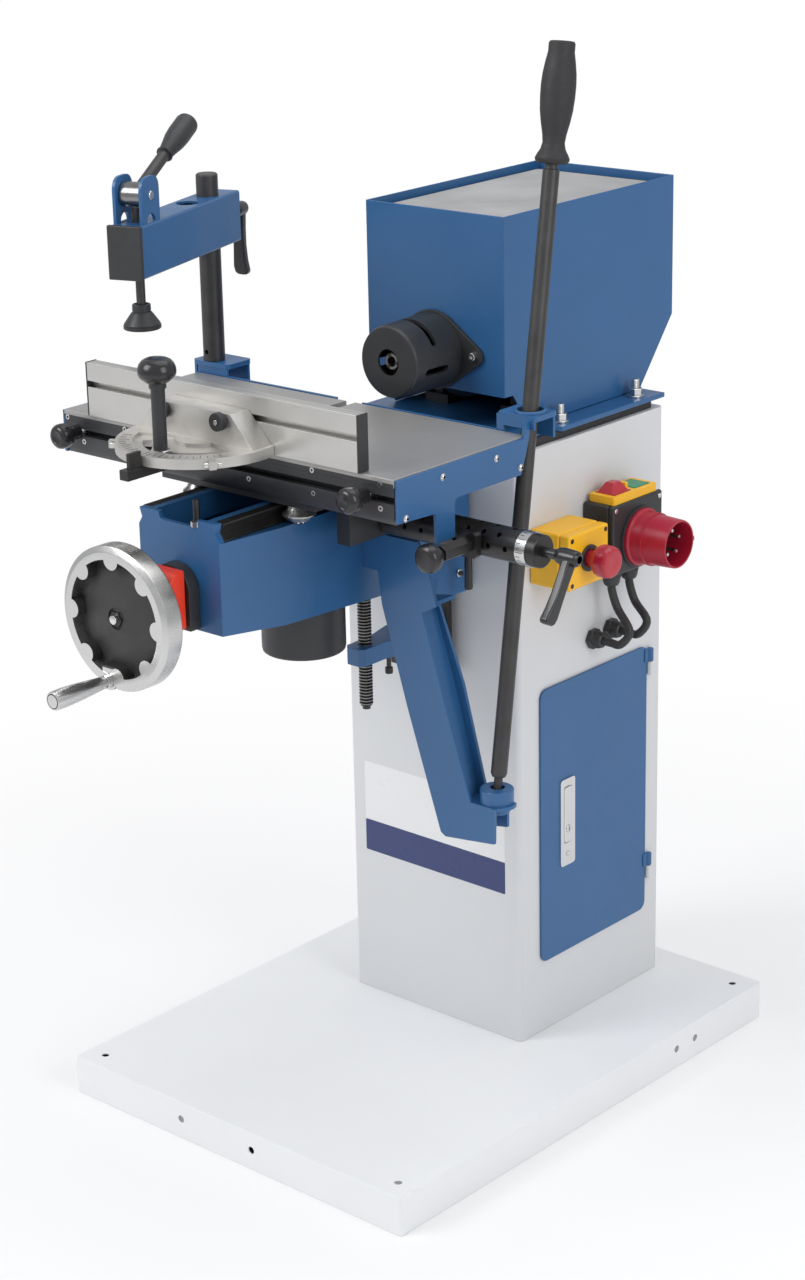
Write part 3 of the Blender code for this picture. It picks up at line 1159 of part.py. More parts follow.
def lever_bracket():
    """The right end's sheet, folded along the back and up into the lever's collar."""
    y0 = TABLE_BACK + 0.0018
    y1 = y0 + 0.0025
    rail = box((-0.002, y0, 0.852), (0.211, y1, TABLE_TOP + 0.0005))
    front = box((0.202, y0, 0.880), (TABLE_RIGHT + 0.006, y1, COLLAR.z - 0.002))
    cut(front, box((0.212, y0 - 0.01, 0.80), (0.30, y1 + 0.01, 0.8965)))
    top = prism(rounded((0.202, y0), (TABLE_RIGHT + 0.006, BRACKET_BACK), 0.006), 'Z', COLLAR.z - 0.006,
                COLLAR.z)
    back = box((0.206, BRACKET_BACK - 0.004, 0.880), (TABLE_RIGHT + 0.002, BRACKET_BACK, COLLAR.z - 0.002))
    collar = rod((COLLAR.x, COLLAR.y, COLLAR.z - 0.005), (COLLAR.x, COLLAR.y, COLLAR.z + 0.004), 0.0182, 20,
                 chamfer=0.001)
    fuse(rail, front, top, back, collar, right_end_plate())
    # The collar's bore flares both ways, so that the leaning lever never binds
    bore = turned((COLLAR.x, COLLAR.y, COLLAR.z - 0.020), (COLLAR.x, COLLAR.y, 1.0),
                  [(0.0, COLLAR_BORE + 0.004), (0.013, COLLAR_BORE + 0.0015), (0.0195, COLLAR_BORE),
                   (0.030, COLLAR_BORE + 0.0025)], 20)
    cut(rail, bore)
    return part(rail, "lever_bracket", BLUE_PAINT)


def plunger_holder():
    """The index plunger's block on the end plate's leg: a square flange and a hexagon barrel."""
    x0 = TABLE_RIGHT + GAP
    centre = (x0 + 0.013, PLUNGER_Z)
    flange = box((x0, -0.2170, PLUNGER_Z - 0.0145), (x0 + 0.026, -0.2075, PLUNGER_Z + 0.0145), 0.003, 1, 'Y')
    barrel = rod((centre[0], -0.215, centre[1]), (centre[0], -0.262, centre[1]), 0.0100, 6)
    fuse(flange, barrel)
    cut(flange, rod((centre[0], -0.30, centre[1]), (centre[0], -0.20, centre[1]), 0.0034, 12))
    return part(flange, "plunger_holder", BLACK_STEEL)


def index_plunger():
    x = TABLE_RIGHT + GAP + 0.013
    knob = turned((x, -0.2635, PLUNGER_Z), (x, -1.0, PLUNGER_Z),
                  [(0.0, 0.0075), (0.005, 0.0075), (0.009, 0.0145), (0.014, 0.0165), (0.021, 0.0160),
                   (0.026, 0.0125)], 20)
    pin = rod((x, -0.265, PLUNGER_Z), (x, -0.2045, PLUNGER_Z), 0.0030, 8)
    fuse(knob, pin)
    return part(knob, "index_plunger", BLACK_PLASTIC, (x, -0.262, PLUNGER_Z))


def stop_knob(x, name):
    """A stop in the front T slot: a T nut, a stud and a fluted knob."""
    front = TABLE_FRONT + GAP
    nut = box((x - 0.009, front + 0.0080, SLOT_Z - 0.0078), (x + 0.009, front + 0.0122, SLOT_Z + 0.0078))
    stud = rod((x, front + 0.009, SLOT_Z), (x, front - 0.010, SLOT_Z), 0.0032, 8)
    sleeve = turned((x, front - 0.0008, SLOT_Z), (x, -1, SLOT_Z),
                    [(0.0, 0.0085), (0.014, 0.0085), (0.016, 0.0120), (0.020, 0.0150), (0.031, 0.0150),
                     (0.035, 0.0125)], 20)
    fuse(nut, stud, sleeve)
    return part(nut, name, BLACK_PLASTIC, (x, front, SLOT_Z))


# Clamp over the table

ARM_FORWARD = Vector((math.sin(ARM_ANGLE), -math.cos(ARM_ANGLE), 0))
CLAMP_SPOT = COLUMN + ARM_FORWARD * SPINDLE_REACH


def swing(piece):
    """Turn a piece drawn with the arm pointing along -Y to the arm's rest angle."""
    return turn_about(piece, (COLUMN.x, COLUMN.y, 0), ARM_ANGLE)


def clamp_column():
    column = turned((COLUMN.x, COLUMN.y, BRACKET_TOP + GAP), (COLUMN.x, COLUMN.y, 2.0),
                    [(0.0, COLUMN_RADIUS), (COLUMN_TOP - BRACKET_TOP - 0.0015, COLUMN_RADIUS),
                     (COLUMN_TOP - BRACKET_TOP, COLUMN_RADIUS - 0.0015)], 20)
    spot = Vector((COLUMN.x, COLUMN.y, 0.917))
    cut(column, rod(spot + Vector((0, 0.03, 0)), spot - Vector((0, 0.03, 0)), 0.0030, 8))
    return part(column, "clamp_column", BLACK_STEEL, (COLUMN.x, COLUMN.y, 0))


def clamp_arm():
    """The square-tube arm with its end cap, spare hole, and the two ears of the cam lever."""
    x, y = COLUMN.x, COLUMN.y
    half = 0.0215
    arm = box((x - half, y - ARM_REACH + 0.003, ARM_LOW), (x + half, y + ARM_TAIL, ARM_HIGH), 0.002)
    fuse(arm, box((x - half - 0.0004, y - ARM_REACH, ARM_LOW - 0.0004),
                  (x + half + 0.0004, y - ARM_REACH + 0.005, ARM_HIGH + 0.0004)))
    # Hollow between the column's boss and the spindle's guide
    cut(arm, box((x - half + 0.003, y - SPINDLE_REACH + 0.018, ARM_LOW + 0.003),
                 (x + half - 0.003, y - 0.022, ARM_HIGH - 0.003)))
    cut(arm, rod((x, y - 0.052, ARM_HIGH - 0.01), (x, y - 0.052, ARM_HIGH + 0.01), 0.0140, 16))
    cut(arm, rod((x, y, ARM_LOW - 0.01), (x, y, ARM_HIGH + 0.01), COLUMN_RADIUS + GAP, 20))
    centre = y - SPINDLE_REACH
    for side in (-1, 1):
        face = x + side * (half - 0.002)
        low, high = sorted((face, face - side * 0.004))
        ear = [(centre - 0.021, ARM_HIGH - 0.002), (centre + 0.021, ARM_HIGH - 0.002)]
        ear += arc((centre + 0.007, ARM_HIGH + 0.040), 0.014, 0, 90, 4)
        ear += arc((centre - 0.007, ARM_HIGH + 0.040), 0.014, 90, 180, 4)
        plate = prism(ear, 'X', low, high)
        window = arc((centre, ARM_HIGH + 0.001), 0.010, 0, 180, 6)
        cut(plate, prism(window, 'X', low - 0.01, high + 0.01))
        fuse(arm, plate)
    cut(arm, rod((x, centre, ARM_LOW - 0.01), (x, centre, ARM_HIGH + 0.01), 0.0058, 14))
    cut(arm, rod((x, y + 0.008, 1.078), (x, y + ARM_TAIL + 0.01, 1.078), 0.0066, 12))
    return part(swing(arm), "clamp_arm", BLUE_PAINT, (x, y, 0))


def cam_lever():
    """The eccentric cam on its pin, with a rod and a tapered handle."""
    x, y = COLUMN.x, COLUMN.y - SPINDLE_REACH
    pin_z = CAM_Z
    hub = rod((x - 0.0150, y, pin_z), (x + 0.0150, y, pin_z), 0.0145, 16)
    direction = Vector((0, math.cos(CAM_LEVER_RISE), math.sin(CAM_LEVER_RISE)))
    start = Vector((x, y, pin_z))
    bar = turned(start + direction * 0.006, start + direction,
                 [(0.0, 0.0072), (CAM_LEVER_LENGTH - 0.066, 0.0072), (CAM_LEVER_LENGTH - 0.066, 0.0090),
                  (CAM_LEVER_LENGTH - 0.050, 0.0105), (CAM_LEVER_LENGTH - 0.030, 0.0140),
                  (CAM_LEVER_LENGTH - 0.008, 0.0140), (CAM_LEVER_LENGTH - 0.006, 0.0125)], 14)
    fuse(hub, bar)
    return part(swing(hub), "cam_lever", BLACK_STEEL, (CLAMP_SPOT.x, CLAMP_SPOT.y, pin_z))


def clamp_spindle():
    """The press spindle with its swivel foot, raised by the cam."""
    x, y = CLAMP_SPOT.x, CLAMP_SPOT.y
    spindle = turned((x, y, FOOT_LOW), (x, y, 2.0), [(0.0, 0.0225), (0.005, 0.0225), (0.007, 0.0210),
                                                     (0.020, 0.0125), (0.0205, 0.0110), (0.029, 0.0110),
                                                     (0.030, 0.0055), (CAM_Z - 0.0150 - FOOT_LOW, 0.0055)],
                     20)
    return part(spindle, "clamp_spindle", BLACK_PLASTIC, (x, y, 0))


def arm_lock_lever():
    """The clamping lever in the arm's back end, which locks the arm on its column."""
    back = COLUMN - ARM_FORWARD * (ARM_TAIL + GAP)
    root = Vector((back.x, back.y, 1.078))
    return clamp_lever(root, -ARM_FORWARD, (0.0, 0.0, -0.082), "arm_lock_lever", offset=0.012)


# Mitre gauge and fence

def gauge_bar():
    """The square bar that slides in the table's groove, with its pointer and pivot pin."""
    low = TABLE_TOP - 0.0120
    bar = box((GAUGE_X - 0.0068, -0.462, low), (GAUGE_X + 0.0068, -0.200, TABLE_TOP - GAP), 0.0006)
    pointer = box((GAUGE_X + 0.0005, -0.4570, TABLE_TOP - 0.002),
                  (GAUGE_X + 0.0050, -0.4388, TABLE_TOP + 0.018))
    fuse(bar, pointer)
    pivot = (GAUGE_X, GAUGE_PIVOT_Y)
    fuse(bar, rod((*pivot, TABLE_TOP - 0.002), (*pivot, QUADRANT_HIGH + 0.001), 0.0050, 12))
    return part(bar, "gauge_bar", BLACK_STEEL)


FLANGE_HIGH = 0.9375
FLANGE_BACK = FENCE_FRONT - GAP
FLANGE_DEPTH = 0.030
FLANGE_WALL = 0.008
QUADRANT_FLOOR = QUADRANT_HIGH - 0.004


def gauge_quadrant():
    """The cast quadrant: half disc, curved slot, and the hollow block that carries the fence."""
    back = FLANGE_BACK
    centre = (GAUGE_X, GAUGE_PIVOT_Y)
    start = math.degrees(math.asin((back - centre[1]) / QUADRANT_RADIUS))
    outline = arc(centre, QUADRANT_RADIUS, 180 - start, 360 + start, 24)
    plate = prism(outline, 'Z', QUADRANT_LOW, QUADRANT_HIGH)
    # The hollow top leaves a raised rim, as cast
    inner = arc(centre, 0.076, 200, 340, 12) + arc(centre, 0.030, 340, 200, 8)
    cut(plate, prism(inner, 'Z', QUADRANT_FLOOR, QUADRANT_HIGH + 0.01))
    slot_outer = arc(centre, SLEEVE_REACH + 0.0055, 215, 340, 10)
    slot_inner = arc(centre, SLEEVE_REACH - 0.0055, 340, 215, 10)
    cut(plate, prism(slot_outer + slot_inner, 'Z', QUADRANT_LOW - 0.01, QUADRANT_HIGH + 0.01))
    # The block slopes at both ends and is open towards the fence
    block = [(GAUGE_X - 0.0920, QUADRANT_HIGH - 0.003), (GAUGE_X + 0.0900, QUADRANT_HIGH - 0.003),
             (GAUGE_X + 0.0900, QUADRANT_HIGH), (GAUGE_X + 0.0562, FLANGE_HIGH),
             (GAUGE_X - 0.0600, FLANGE_HIGH), (GAUGE_X - 0.0920, QUADRANT_HIGH)]
    fuse(plate, prism(block, 'Y', back - FLANGE_DEPTH, back))
    hollow = [(GAUGE_X - 0.0830, QUADRANT_HIGH), (GAUGE_X + 0.0810, QUADRANT_HIGH),
              (GAUGE_X + 0.0530, FLANGE_HIGH - 0.005), (GAUGE_X - 0.0565, FLANGE_HIGH - 0.005)]
    cut(plate, prism(hollow, 'Y', back - FLANGE_DEPTH + FLANGE_WALL, back + 0.01))
    cut(plate, rod((*centre, QUADRANT_LOW - 0.01), (*centre, QUADRANT_HIGH + 0.004), 0.0053, 12))
    for x in KNOB_X:
        cut(plate, rod((x, back - FLANGE_DEPTH - 0.01, KNOB_Z), (x, back + 0.01, KNOB_Z), 0.0036, 8))
    return part(plate, "gauge_quadrant", ALUMINIUM, (*centre, 0))


def gauge_knob():
    """The gauge's lock: a long sleeve under a mushroom knob, in the curved slot."""
    x, y = GAUGE_X - 0.0020, GAUGE_PIVOT_Y - SLEEVE_REACH
    foot = QUADRANT_FLOOR + GAP
    knob = turned((x, y, foot), (x, y, 2.0),
                  [(0.0, 0.0110), (0.0015, 0.0110), (0.0015, 0.0080), (0.0715, 0.0080), (0.0715, 0.0098),
                   (0.0790, 0.0098), (0.0805, 0.0150), (0.0870, 0.0218), (0.0955, 0.0218), (0.1020, 0.0165),
                   (0.1050, 0.0080)], 20)
    stud = rod((x, y, TABLE_TOP + GAP), (x, y, foot + 0.004), 0.0045, 8)
    fuse(knob, stud)
    return part(knob, "gauge_knob", BLACK_PLASTIC, (x, y, 0))


def fence():
    """The extruded fence with its T slot along the front, hollow inside, with end caps."""
    low = TABLE_TOP + GAP
    top = low + FENCE_HEIGHT
    y0 = FENCE_FRONT
    y1 = FENCE_FRONT + FENCE_DEPTH
    s = KNOB_Z
    outline = [(y0, low), (y1, low), (y1, top), (y0, top), (y0, s + 0.0036), (y0 + 0.003, s + 0.0036),
               (y0 + 0.003, s + 0.0065), (y0 + 0.009, s + 0.0065), (y0 + 0.009, s - 0.0065),
               (y0 + 0.003, s - 0.0065), (y0 + 0.003, s - 0.0036), (y0, s - 0.0036)]
    profile = prism(outline, 'X', FENCE_LEFT, FENCE_RIGHT)
    for z_low, z_high in ((low + 0.003, s - 0.0095), (s + 0.0095, top - 0.003)):
        cut(profile, box((FENCE_LEFT - 0.01, y0 + 0.003, z_low), (FENCE_RIGHT + 0.01, y1 - 0.003, z_high)))
    return part(profile, "fence", ALUMINIUM)


def fence_knob(x, name):
    """A knurled nut on a T bolt that holds the fence to the quadrant."""
    front = FLANGE_BACK - FLANGE_DEPTH - GAP
    knob = turned((x, front, KNOB_Z), (x, -1, KNOB_Z), [(0.0, 0.0075), (0.002, 0.0075), (0.002, 0.0105),
                                                        (0.0095, 0.0105), (0.0105, 0.0095), (0.0105, 0.0030),
                                                        (0.0120, 0.0030)], 12)
    bolt = rod((x, front - 0.005, KNOB_Z), (x, FENCE_FRONT + 0.006, KNOB_Z), 0.0030, 8)
    head = box((x - 0.0060, FENCE_FRONT + 0.0042, KNOB_Z - 0.0058),
               (x + 0.0060, FENCE_FRONT + 0.0078, KNOB_Z + 0.0058))
    fuse(knob, bolt, head)
    return part(knob, name, BLACK_PLASTIC)


# Build the machine

base_plate()
cabinet_shell()
door_panel()
door_latch()
mount_plate()
mount_frame()
motor_hood()
motor()
drill_chuck()
chuck_guard()
estop_box()
estop_button()
switch_box()
button(*BUTTONS[0], True, RED, "stop_button")
button(*BUTTONS[1], False, GREEN, "start_button")
power_inlet()
control_cable((0.166, 0.176), (0.170, 0.556), "front_cable")
control_cable((0.166, 0.212), (0.206, 0.560), "back_cable")
guide_way()
lift_bracket()
lift_screw()
knee_housing()
knee_rail(-1, "left_knee_rail")
knee_rail(1, "right_knee_rail")
lever_arm()
dust_port()
position_indicator()
lock_handle()
handwheel()
wheel_grip()
ball_seat()
lever_rod()
lever_grip()
cross_carriage()
for roller_name, roller_side, roller_y in (("roller_left_front", -1, ROLLER_Y[0]),
                                           ("roller_left_back", -1, ROLLER_Y[1]),
                                           ("roller_right_front", 1, ROLLER_Y[0]),
                                           ("roller_right_back", 1, ROLLER_Y[1])):
    carriage_roller(roller_side, roller_y, roller_name)
index_tube()
index_lever()
table_top()
front_rail()
back_rail()
column_bracket()
lever_bracket()
plunger_holder()
index_plunger()
stop_knob(-0.250, "left_stop")
stop_knob(0.205, "right_stop")
clamp_column()
clamp_arm()
cam_lever()
clamp_spindle()
arm_lock_lever()
gauge_bar()
gauge_quadrant()
gauge_knob()
fence()
fence_knob(KNOB_X[0], "left_fence_knob")
fence_knob(KNOB_X[1], "right_fence_knob")
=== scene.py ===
"""A horizontal slot mortiser, dressed over its CAD frame: finishes, fine shapes, light and camera."""

import json
import math

import bpy
from mathutils import Matrix, Vector

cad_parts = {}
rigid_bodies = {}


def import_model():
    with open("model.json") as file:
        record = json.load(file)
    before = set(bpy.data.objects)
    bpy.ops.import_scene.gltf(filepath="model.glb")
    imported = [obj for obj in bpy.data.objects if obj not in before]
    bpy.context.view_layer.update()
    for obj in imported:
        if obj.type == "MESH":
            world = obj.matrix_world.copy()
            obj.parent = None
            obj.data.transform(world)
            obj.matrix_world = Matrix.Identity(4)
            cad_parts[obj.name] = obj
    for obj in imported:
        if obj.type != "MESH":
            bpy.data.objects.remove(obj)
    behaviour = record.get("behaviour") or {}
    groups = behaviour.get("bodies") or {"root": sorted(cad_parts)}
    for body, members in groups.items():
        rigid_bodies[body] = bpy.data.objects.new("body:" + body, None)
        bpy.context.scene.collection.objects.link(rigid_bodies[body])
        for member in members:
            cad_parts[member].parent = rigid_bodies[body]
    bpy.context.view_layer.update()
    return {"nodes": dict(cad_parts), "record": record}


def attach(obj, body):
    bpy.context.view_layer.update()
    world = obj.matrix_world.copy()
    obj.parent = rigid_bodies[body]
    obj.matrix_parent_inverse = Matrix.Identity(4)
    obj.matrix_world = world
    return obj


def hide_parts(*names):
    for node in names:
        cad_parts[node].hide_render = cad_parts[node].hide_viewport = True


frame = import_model()
nodes = frame["nodes"]


# Camera at the photograph's angle

camera_data = bpy.data.cameras.new("camera")
camera_data.sensor_fit = 'VERTICAL'
camera_data.sensor_height = 36.0
camera_data.lens = 78.2497
camera_data.shift_x = 0.10696
camera_data.shift_y = 0.01431
camera_data.clip_end = 60.0
camera = bpy.data.objects.new("camera", camera_data)
bpy.context.scene.collection.objects.link(camera)
camera.location = (2.13786, -2.45657, 1.70284)
camera.rotation_euler = (math.radians(70.5268), math.radians(2.0931), math.radians(43.6025))
bpy.context.scene.camera = camera


# Working with operators as by hand

SMOOTH_BELOW = math.radians(30)
FLAT_WITHIN = math.radians(0.5)
WELD_GAP = 0.00001
CAD_WELD_GAP = 0.00002
CORNER_STEPS = 5


def nothing_picked():
    if bpy.context.mode != 'OBJECT':
        bpy.ops.object.mode_set(mode='OBJECT')
    bpy.ops.object.select_all(action='DESELECT')


def pick(*pieces):
    nothing_picked()
    for piece in pieces:
        piece.select_set(True)
    bpy.context.view_layer.objects.active = pieces[0]


def smoothed(piece):
    pick(piece)
    bpy.ops.object.shade_smooth_by_angle(angle=SMOOTH_BELOW)
    return piece


def into_place(piece, start, axis):
    """Puts a piece drawn along +Z at its start, along its axis, and leaves its object at the origin."""
    pick(piece)
    track = Vector(axis).to_track_quat('Z', 'Y').to_matrix().to_4x4()
    piece.matrix_world = Matrix.Translation(Vector(start)) @ track
    bpy.ops.object.transform_apply(location=True, rotation=True, scale=True)
    return piece


def first_point(name, place):
    """A mesh of one point, in edit mode, from which outlines are drawn."""
    nothing_picked()
    bpy.ops.mesh.primitive_plane_add(size=0.01)
    piece = bpy.context.object
    piece.name = name
    piece.data.name = name
    bpy.ops.object.mode_set(mode='EDIT')
    bpy.ops.mesh.select_all(action='SELECT')
    bpy.ops.mesh.merge(type='CENTER')
    bpy.ops.transform.translate(value=place)
    return piece


def draw_on(points):
    """Extrudes the picked point from place to place."""
    for here, there in zip(points, points[1:]):
        step = [b - a for a, b in zip(here, there)]
        bpy.ops.mesh.extrude_region_move(TRANSFORM_OT_translate={"value": step})


def tidy_mesh():
    bpy.ops.mesh.select_all(action='SELECT')
    bpy.ops.mesh.remove_doubles(threshold=WELD_GAP)
    bpy.ops.mesh.normals_make_consistent(inside=False)


def mm(*pairs):
    """Pairs of millimetres as pairs of metres."""
    return [(first / 1000, second / 1000) for first, second in pairs]


def turned(name, start, axis, profile, sides=48, closed=False):
    """Draws a section as (distance, radius) and spins it. A closed section makes a ring."""
    points = [(radius, 0.0, distance) for distance, radius in profile]
    if closed:
        points.append(points[0])
    else:
        points = [(0.0, 0.0, points[0][2])] + points + [(0.0, 0.0, points[-1][2])]
    piece = first_point(name, points[0])
    draw_on(points)
    bpy.ops.mesh.select_all(action='SELECT')
    bpy.ops.mesh.spin(steps=sides, angle=2 * math.pi, center=(0, 0, 0), axis=(0, 0, 1))
    tidy_mesh()
    bpy.ops.object.mode_set(mode='OBJECT')
    into_place(piece, start, axis)
    bpy.ops.object.shade_smooth_by_angle(angle=SMOOTH_BELOW)
    return piece


PLANES = {
    'X': Matrix(((0, 0, 1, 0), (1, 0, 0, 0), (0, 1, 0, 0), (0, 0, 0, 1))),
    'Y': Matrix(((1, 0, 0, 0), (0, 0, -1, 0), (0, 1, 0, 0), (0, 0, 0, 1))),
    'Z': Matrix.Identity(4),
}


def drawn(name, outline, axis, low, high, bevel=0.0, segments=2):
    """An outline filled and extruded along a world axis, with eased edges."""
    points = [(u, v, 0.0) for u, v in outline]
    points.append(points[0])
    piece = first_point(name, points[0])
    draw_on(points)
    bpy.ops.mesh.select_all(action='SELECT')
    bpy.ops.mesh.remove_doubles(threshold=WELD_GAP)
    bpy.ops.mesh.edge_face_add()
    bpy.ops.mesh.extrude_region_move(TRANSFORM_OT_translate={"value": (0, 0, high - low)})
    tidy_mesh()
    bpy.ops.object.mode_set(mode='OBJECT')
    shift = low if axis != 'Y' else -high
    piece.matrix_world = PLANES[axis] @ Matrix.Translation((0, 0, shift))
    bpy.ops.object.transform_apply(location=True, rotation=True, scale=True)
    if bevel:
        ease(piece, bevel, segments)
    bpy.ops.object.shade_smooth_by_angle(angle=SMOOTH_BELOW)
    return piece


def ease(piece, width, segments=2, angle=35):
    """Rounds the piece's sharp edges."""
    pick(piece)
    step = piece.modifiers.new("eased", 'BEVEL')
    step.width = width
    step.segments = segments
    step.limit_method = 'ANGLE'
    step.angle_limit = math.radians(angle)
    step.harden_normals = False
    bpy.ops.object.modifier_apply(modifier=step.name)
    bpy.ops.object.shade_smooth_by_angle(angle=SMOOTH_BELOW)
    return piece


def block(name, low, high, bevel=0.0, segments=2):
    """A slab by two corners, with its edges bevelled in edit mode."""
    nothing_picked()
    middle = [(a + b) / 2 for a, b in zip(low, high)]
    size = [b - a for a, b in zip(low, high)]
    bpy.ops.mesh.primitive_cube_add(size=1.0, location=middle)
    piece = bpy.context.object
    piece.scale = size
    piece.name = name
    piece.data.name = name
    bpy.ops.object.transform_apply(location=True, rotation=True, scale=True)
    if bevel:
        bpy.ops.object.mode_set(mode='EDIT')
        bpy.ops.mesh.select_all(action='SELECT')
        bpy.ops.mesh.bevel(offset=bevel, segments=segments, profile=0.5, affect='EDGES')
        bpy.ops.object.mode_set(mode='OBJECT')
    bpy.ops.object.shade_smooth_by_angle(angle=SMOOTH_BELOW)
    return piece


def carve(piece, *tools, operation='DIFFERENCE'):
    """Cuts the tools out of the piece, or joins them to it."""
    for tool in tools:
        pick(piece)
        step = piece.modifiers.new("carved", 'BOOLEAN')
        step.operation = operation
        step.solver = 'EXACT'
        step.object = tool
        bpy.ops.object.modifier_apply(modifier=step.name)
        bpy.data.objects.remove(tool, do_unlink=True)
    return piece


def weld_on(piece, *others):
    return carve(piece, *others, operation='UNION')


def joined(piece, *others):
    """One object of pieces that lie on each other."""
    pick(piece, *others)
    bpy.ops.object.join()
    return piece


def eased(node, name, width, segments=2):
    """A CAD piece's copy, merged into whole faces and given eased edges."""
    nothing_picked()
    source = nodes[node]
    source.select_set(True)
    bpy.context.view_layer.objects.active = source
    bpy.ops.object.duplicate()
    piece = bpy.context.object
    bpy.ops.object.parent_clear(type='CLEAR_KEEP_TRANSFORM')
    for key in list(piece.keys()):
        del piece[key]
    piece.name = name
    piece.data.name = name
    bpy.ops.object.mode_set(mode='EDIT')
    bpy.ops.mesh.select_all(action='SELECT')
    bpy.ops.mesh.remove_doubles(threshold=CAD_WELD_GAP)
    bpy.ops.mesh.dissolve_limited(angle_limit=FLAT_WITHIN)
    bpy.ops.object.mode_set(mode='OBJECT')
    return ease(piece, width, segments)


def arc(centre, radius, first, last, steps):
    made = []
    for i in range(steps + 1):
        angle = math.radians(first + (last - first) * i / steps)
        made.append((centre[0] + radius * math.cos(angle), centre[1] + radius * math.sin(angle)))
    return made


def round_corners(low, high, radius):
    (u0, v0), (u1, v1) = low, high
    corners = [((u1 - radius, v0 + radius), -90), ((u1 - radius, v1 - radius), 0),
               ((u0 + radius, v1 - radius), 90), ((u0 + radius, v0 + radius), 180)]
    outline = []
    for centre, first in corners:
        outline += arc(centre, radius, first, first + 90, CORNER_STEPS)
    return outline


def lobed(radius, depth, count, steps):
    """A round outline with lobes, about its own centre."""
    outline = []
    for i in range(count * steps):
        angle = 2 * math.pi * i / (count * steps)
        here = radius + depth * math.cos(count * angle)
        outline.append((here * math.cos(angle), here * math.sin(angle)))
    return outline


def drawn_along(name, outline, start, axis, length, bevel=0.0, segments=2):
    """An outline about its own centre, extruded from start along any axis."""
    piece = drawn(name, outline, 'Z', 0.0, length, bevel, segments)
    return into_place(piece, start, axis)


# Finishes: every one reads Object coordinates

def shader_of(name):
    made = bpy.data.materials.new(name)
    made.use_nodes = True
    tree = made.node_tree
    return made, tree, tree.nodes["Principled BSDF"]


def object_place(tree, scale=(1.0, 1.0, 1.0)):
    where = tree.nodes.new("ShaderNodeTexCoord")
    stretch = tree.nodes.new("ShaderNodeMapping")
    stretch.inputs["Scale"].default_value = scale
    tree.links.new(where.outputs["Object"], stretch.inputs["Vector"])
    return stretch.outputs["Vector"]


def noise(tree, place, scale, detail=4.0, roughness=0.55):
    made = tree.nodes.new("ShaderNodeTexNoise")
    made.inputs["Scale"].default_value = scale
    made.inputs["Detail"].default_value = detail
    made.inputs["Roughness"].default_value = roughness
    tree.links.new(place, made.inputs["Vector"])
    return made.outputs["Fac"]


def ramp(tree, value, stops):
    made = tree.nodes.new("ShaderNodeValToRGB")
    tree.links.new(value, made.inputs["Fac"])
    bars = made.color_ramp.elements
    while len(bars) < len(stops):
        bars.new(0.5)
    for bar, (position, colour) in zip(bars, stops):
        bar.position = position
        bar.color = (*colour, 1.0)
    return made.outputs["Color"]


NOISE_LOW, NOISE_HIGH = 0.3, 0.7


def spread(tree, value, low, high):
    made = tree.nodes.new("ShaderNodeMapRange")
    made.inputs["From Min"].default_value = NOISE_LOW
    made.inputs["From Max"].default_value = NOISE_HIGH
    made.inputs["To Min"].default_value = low
    made.inputs["To Max"].default_value = high
    tree.links.new(value, made.inputs["Value"])
    return made.outputs["Result"]


def relief(tree, shader, height, strength, distance=0.0002):
    bump = tree.nodes.new("ShaderNodeBump")
    bump.inputs["Strength"].default_value = strength
    bump.inputs["Distance"].default_value = distance
    tree.links.new(height, bump.inputs["Height"])
    tree.links.new(bump.outputs["Normal"], shader.inputs["Normal"])


def tinted(colour, factor):
    return tuple(min(1.0, channel * factor) for channel in colour)


def drifting(tree, value, colour, share):
    """The colour a share darker where the noise is low, and a share lighter where it is high."""
    return ramp(tree, value, [(NOISE_LOW, tinted(colour, 1 - share)),
                              (NOISE_HIGH, tinted(colour, 1 + share))])


def finish_with_grain(name, colour, rough, metal=0.0, mottle=0.06, mottle_scale=9.0, grain_scale=900.0,
        grain=0.15, depth=0.0002, coat=0.0):
    """Paint, plastic or metal: a colour that drifts a little, an uneven sheen and a fine grain."""
    made, tree, shader = shader_of(name)
    place = object_place(tree)
    drift = noise(tree, place, mottle_scale, 5.0, 0.6)
    tree.links.new(drifting(tree, drift, colour, mottle), shader.inputs["Base Color"])
    uneven = noise(tree, place, mottle_scale * 4, 3.0)
    sheen = spread(tree, uneven, rough * 0.88, min(1.0, rough * 1.14))
    tree.links.new(sheen, shader.inputs["Roughness"])
    fine = noise(tree, place, grain_scale, 2.0)
    relief(tree, shader, fine, grain, depth)
    shader.inputs["Metallic"].default_value = metal
    if coat:
        shader.inputs["Coat Weight"].default_value = coat
        shader.inputs["Coat Roughness"].default_value = 0.12
    return made


def brushed_finish(name, colour, rough, metal, stretch, streak=0.10, scale=60.0, bump=0.12):
    """Metal with fine lines that run one way."""
    made, tree, shader = shader_of(name)
    lines = noise(tree, object_place(tree, stretch), scale, 6.0, 0.7)
    clouds = noise(tree, object_place(tree), 14.0, 4.0, 0.6)
    mix = tree.nodes.new("ShaderNodeMath")
    mix.operation = 'ADD'
    tree.links.new(lines, mix.inputs[0])
    tree.links.new(clouds, mix.inputs[1])
    half = tree.nodes.new("ShaderNodeMath")
    half.operation = 'MULTIPLY'
    half.inputs[1].default_value = 0.5
    tree.links.new(mix.outputs["Value"], half.inputs[0])
    tree.links.new(drifting(tree, half.outputs["Value"], colour, streak), shader.inputs["Base Color"])
    sheen = spread(tree, lines, rough * 0.8, min(1.0, rough * 1.2))
    tree.links.new(sheen, shader.inputs["Roughness"])
    relief(tree, shader, lines, bump, 0.0001)
    shader.inputs["Metallic"].default_value = metal
    return made


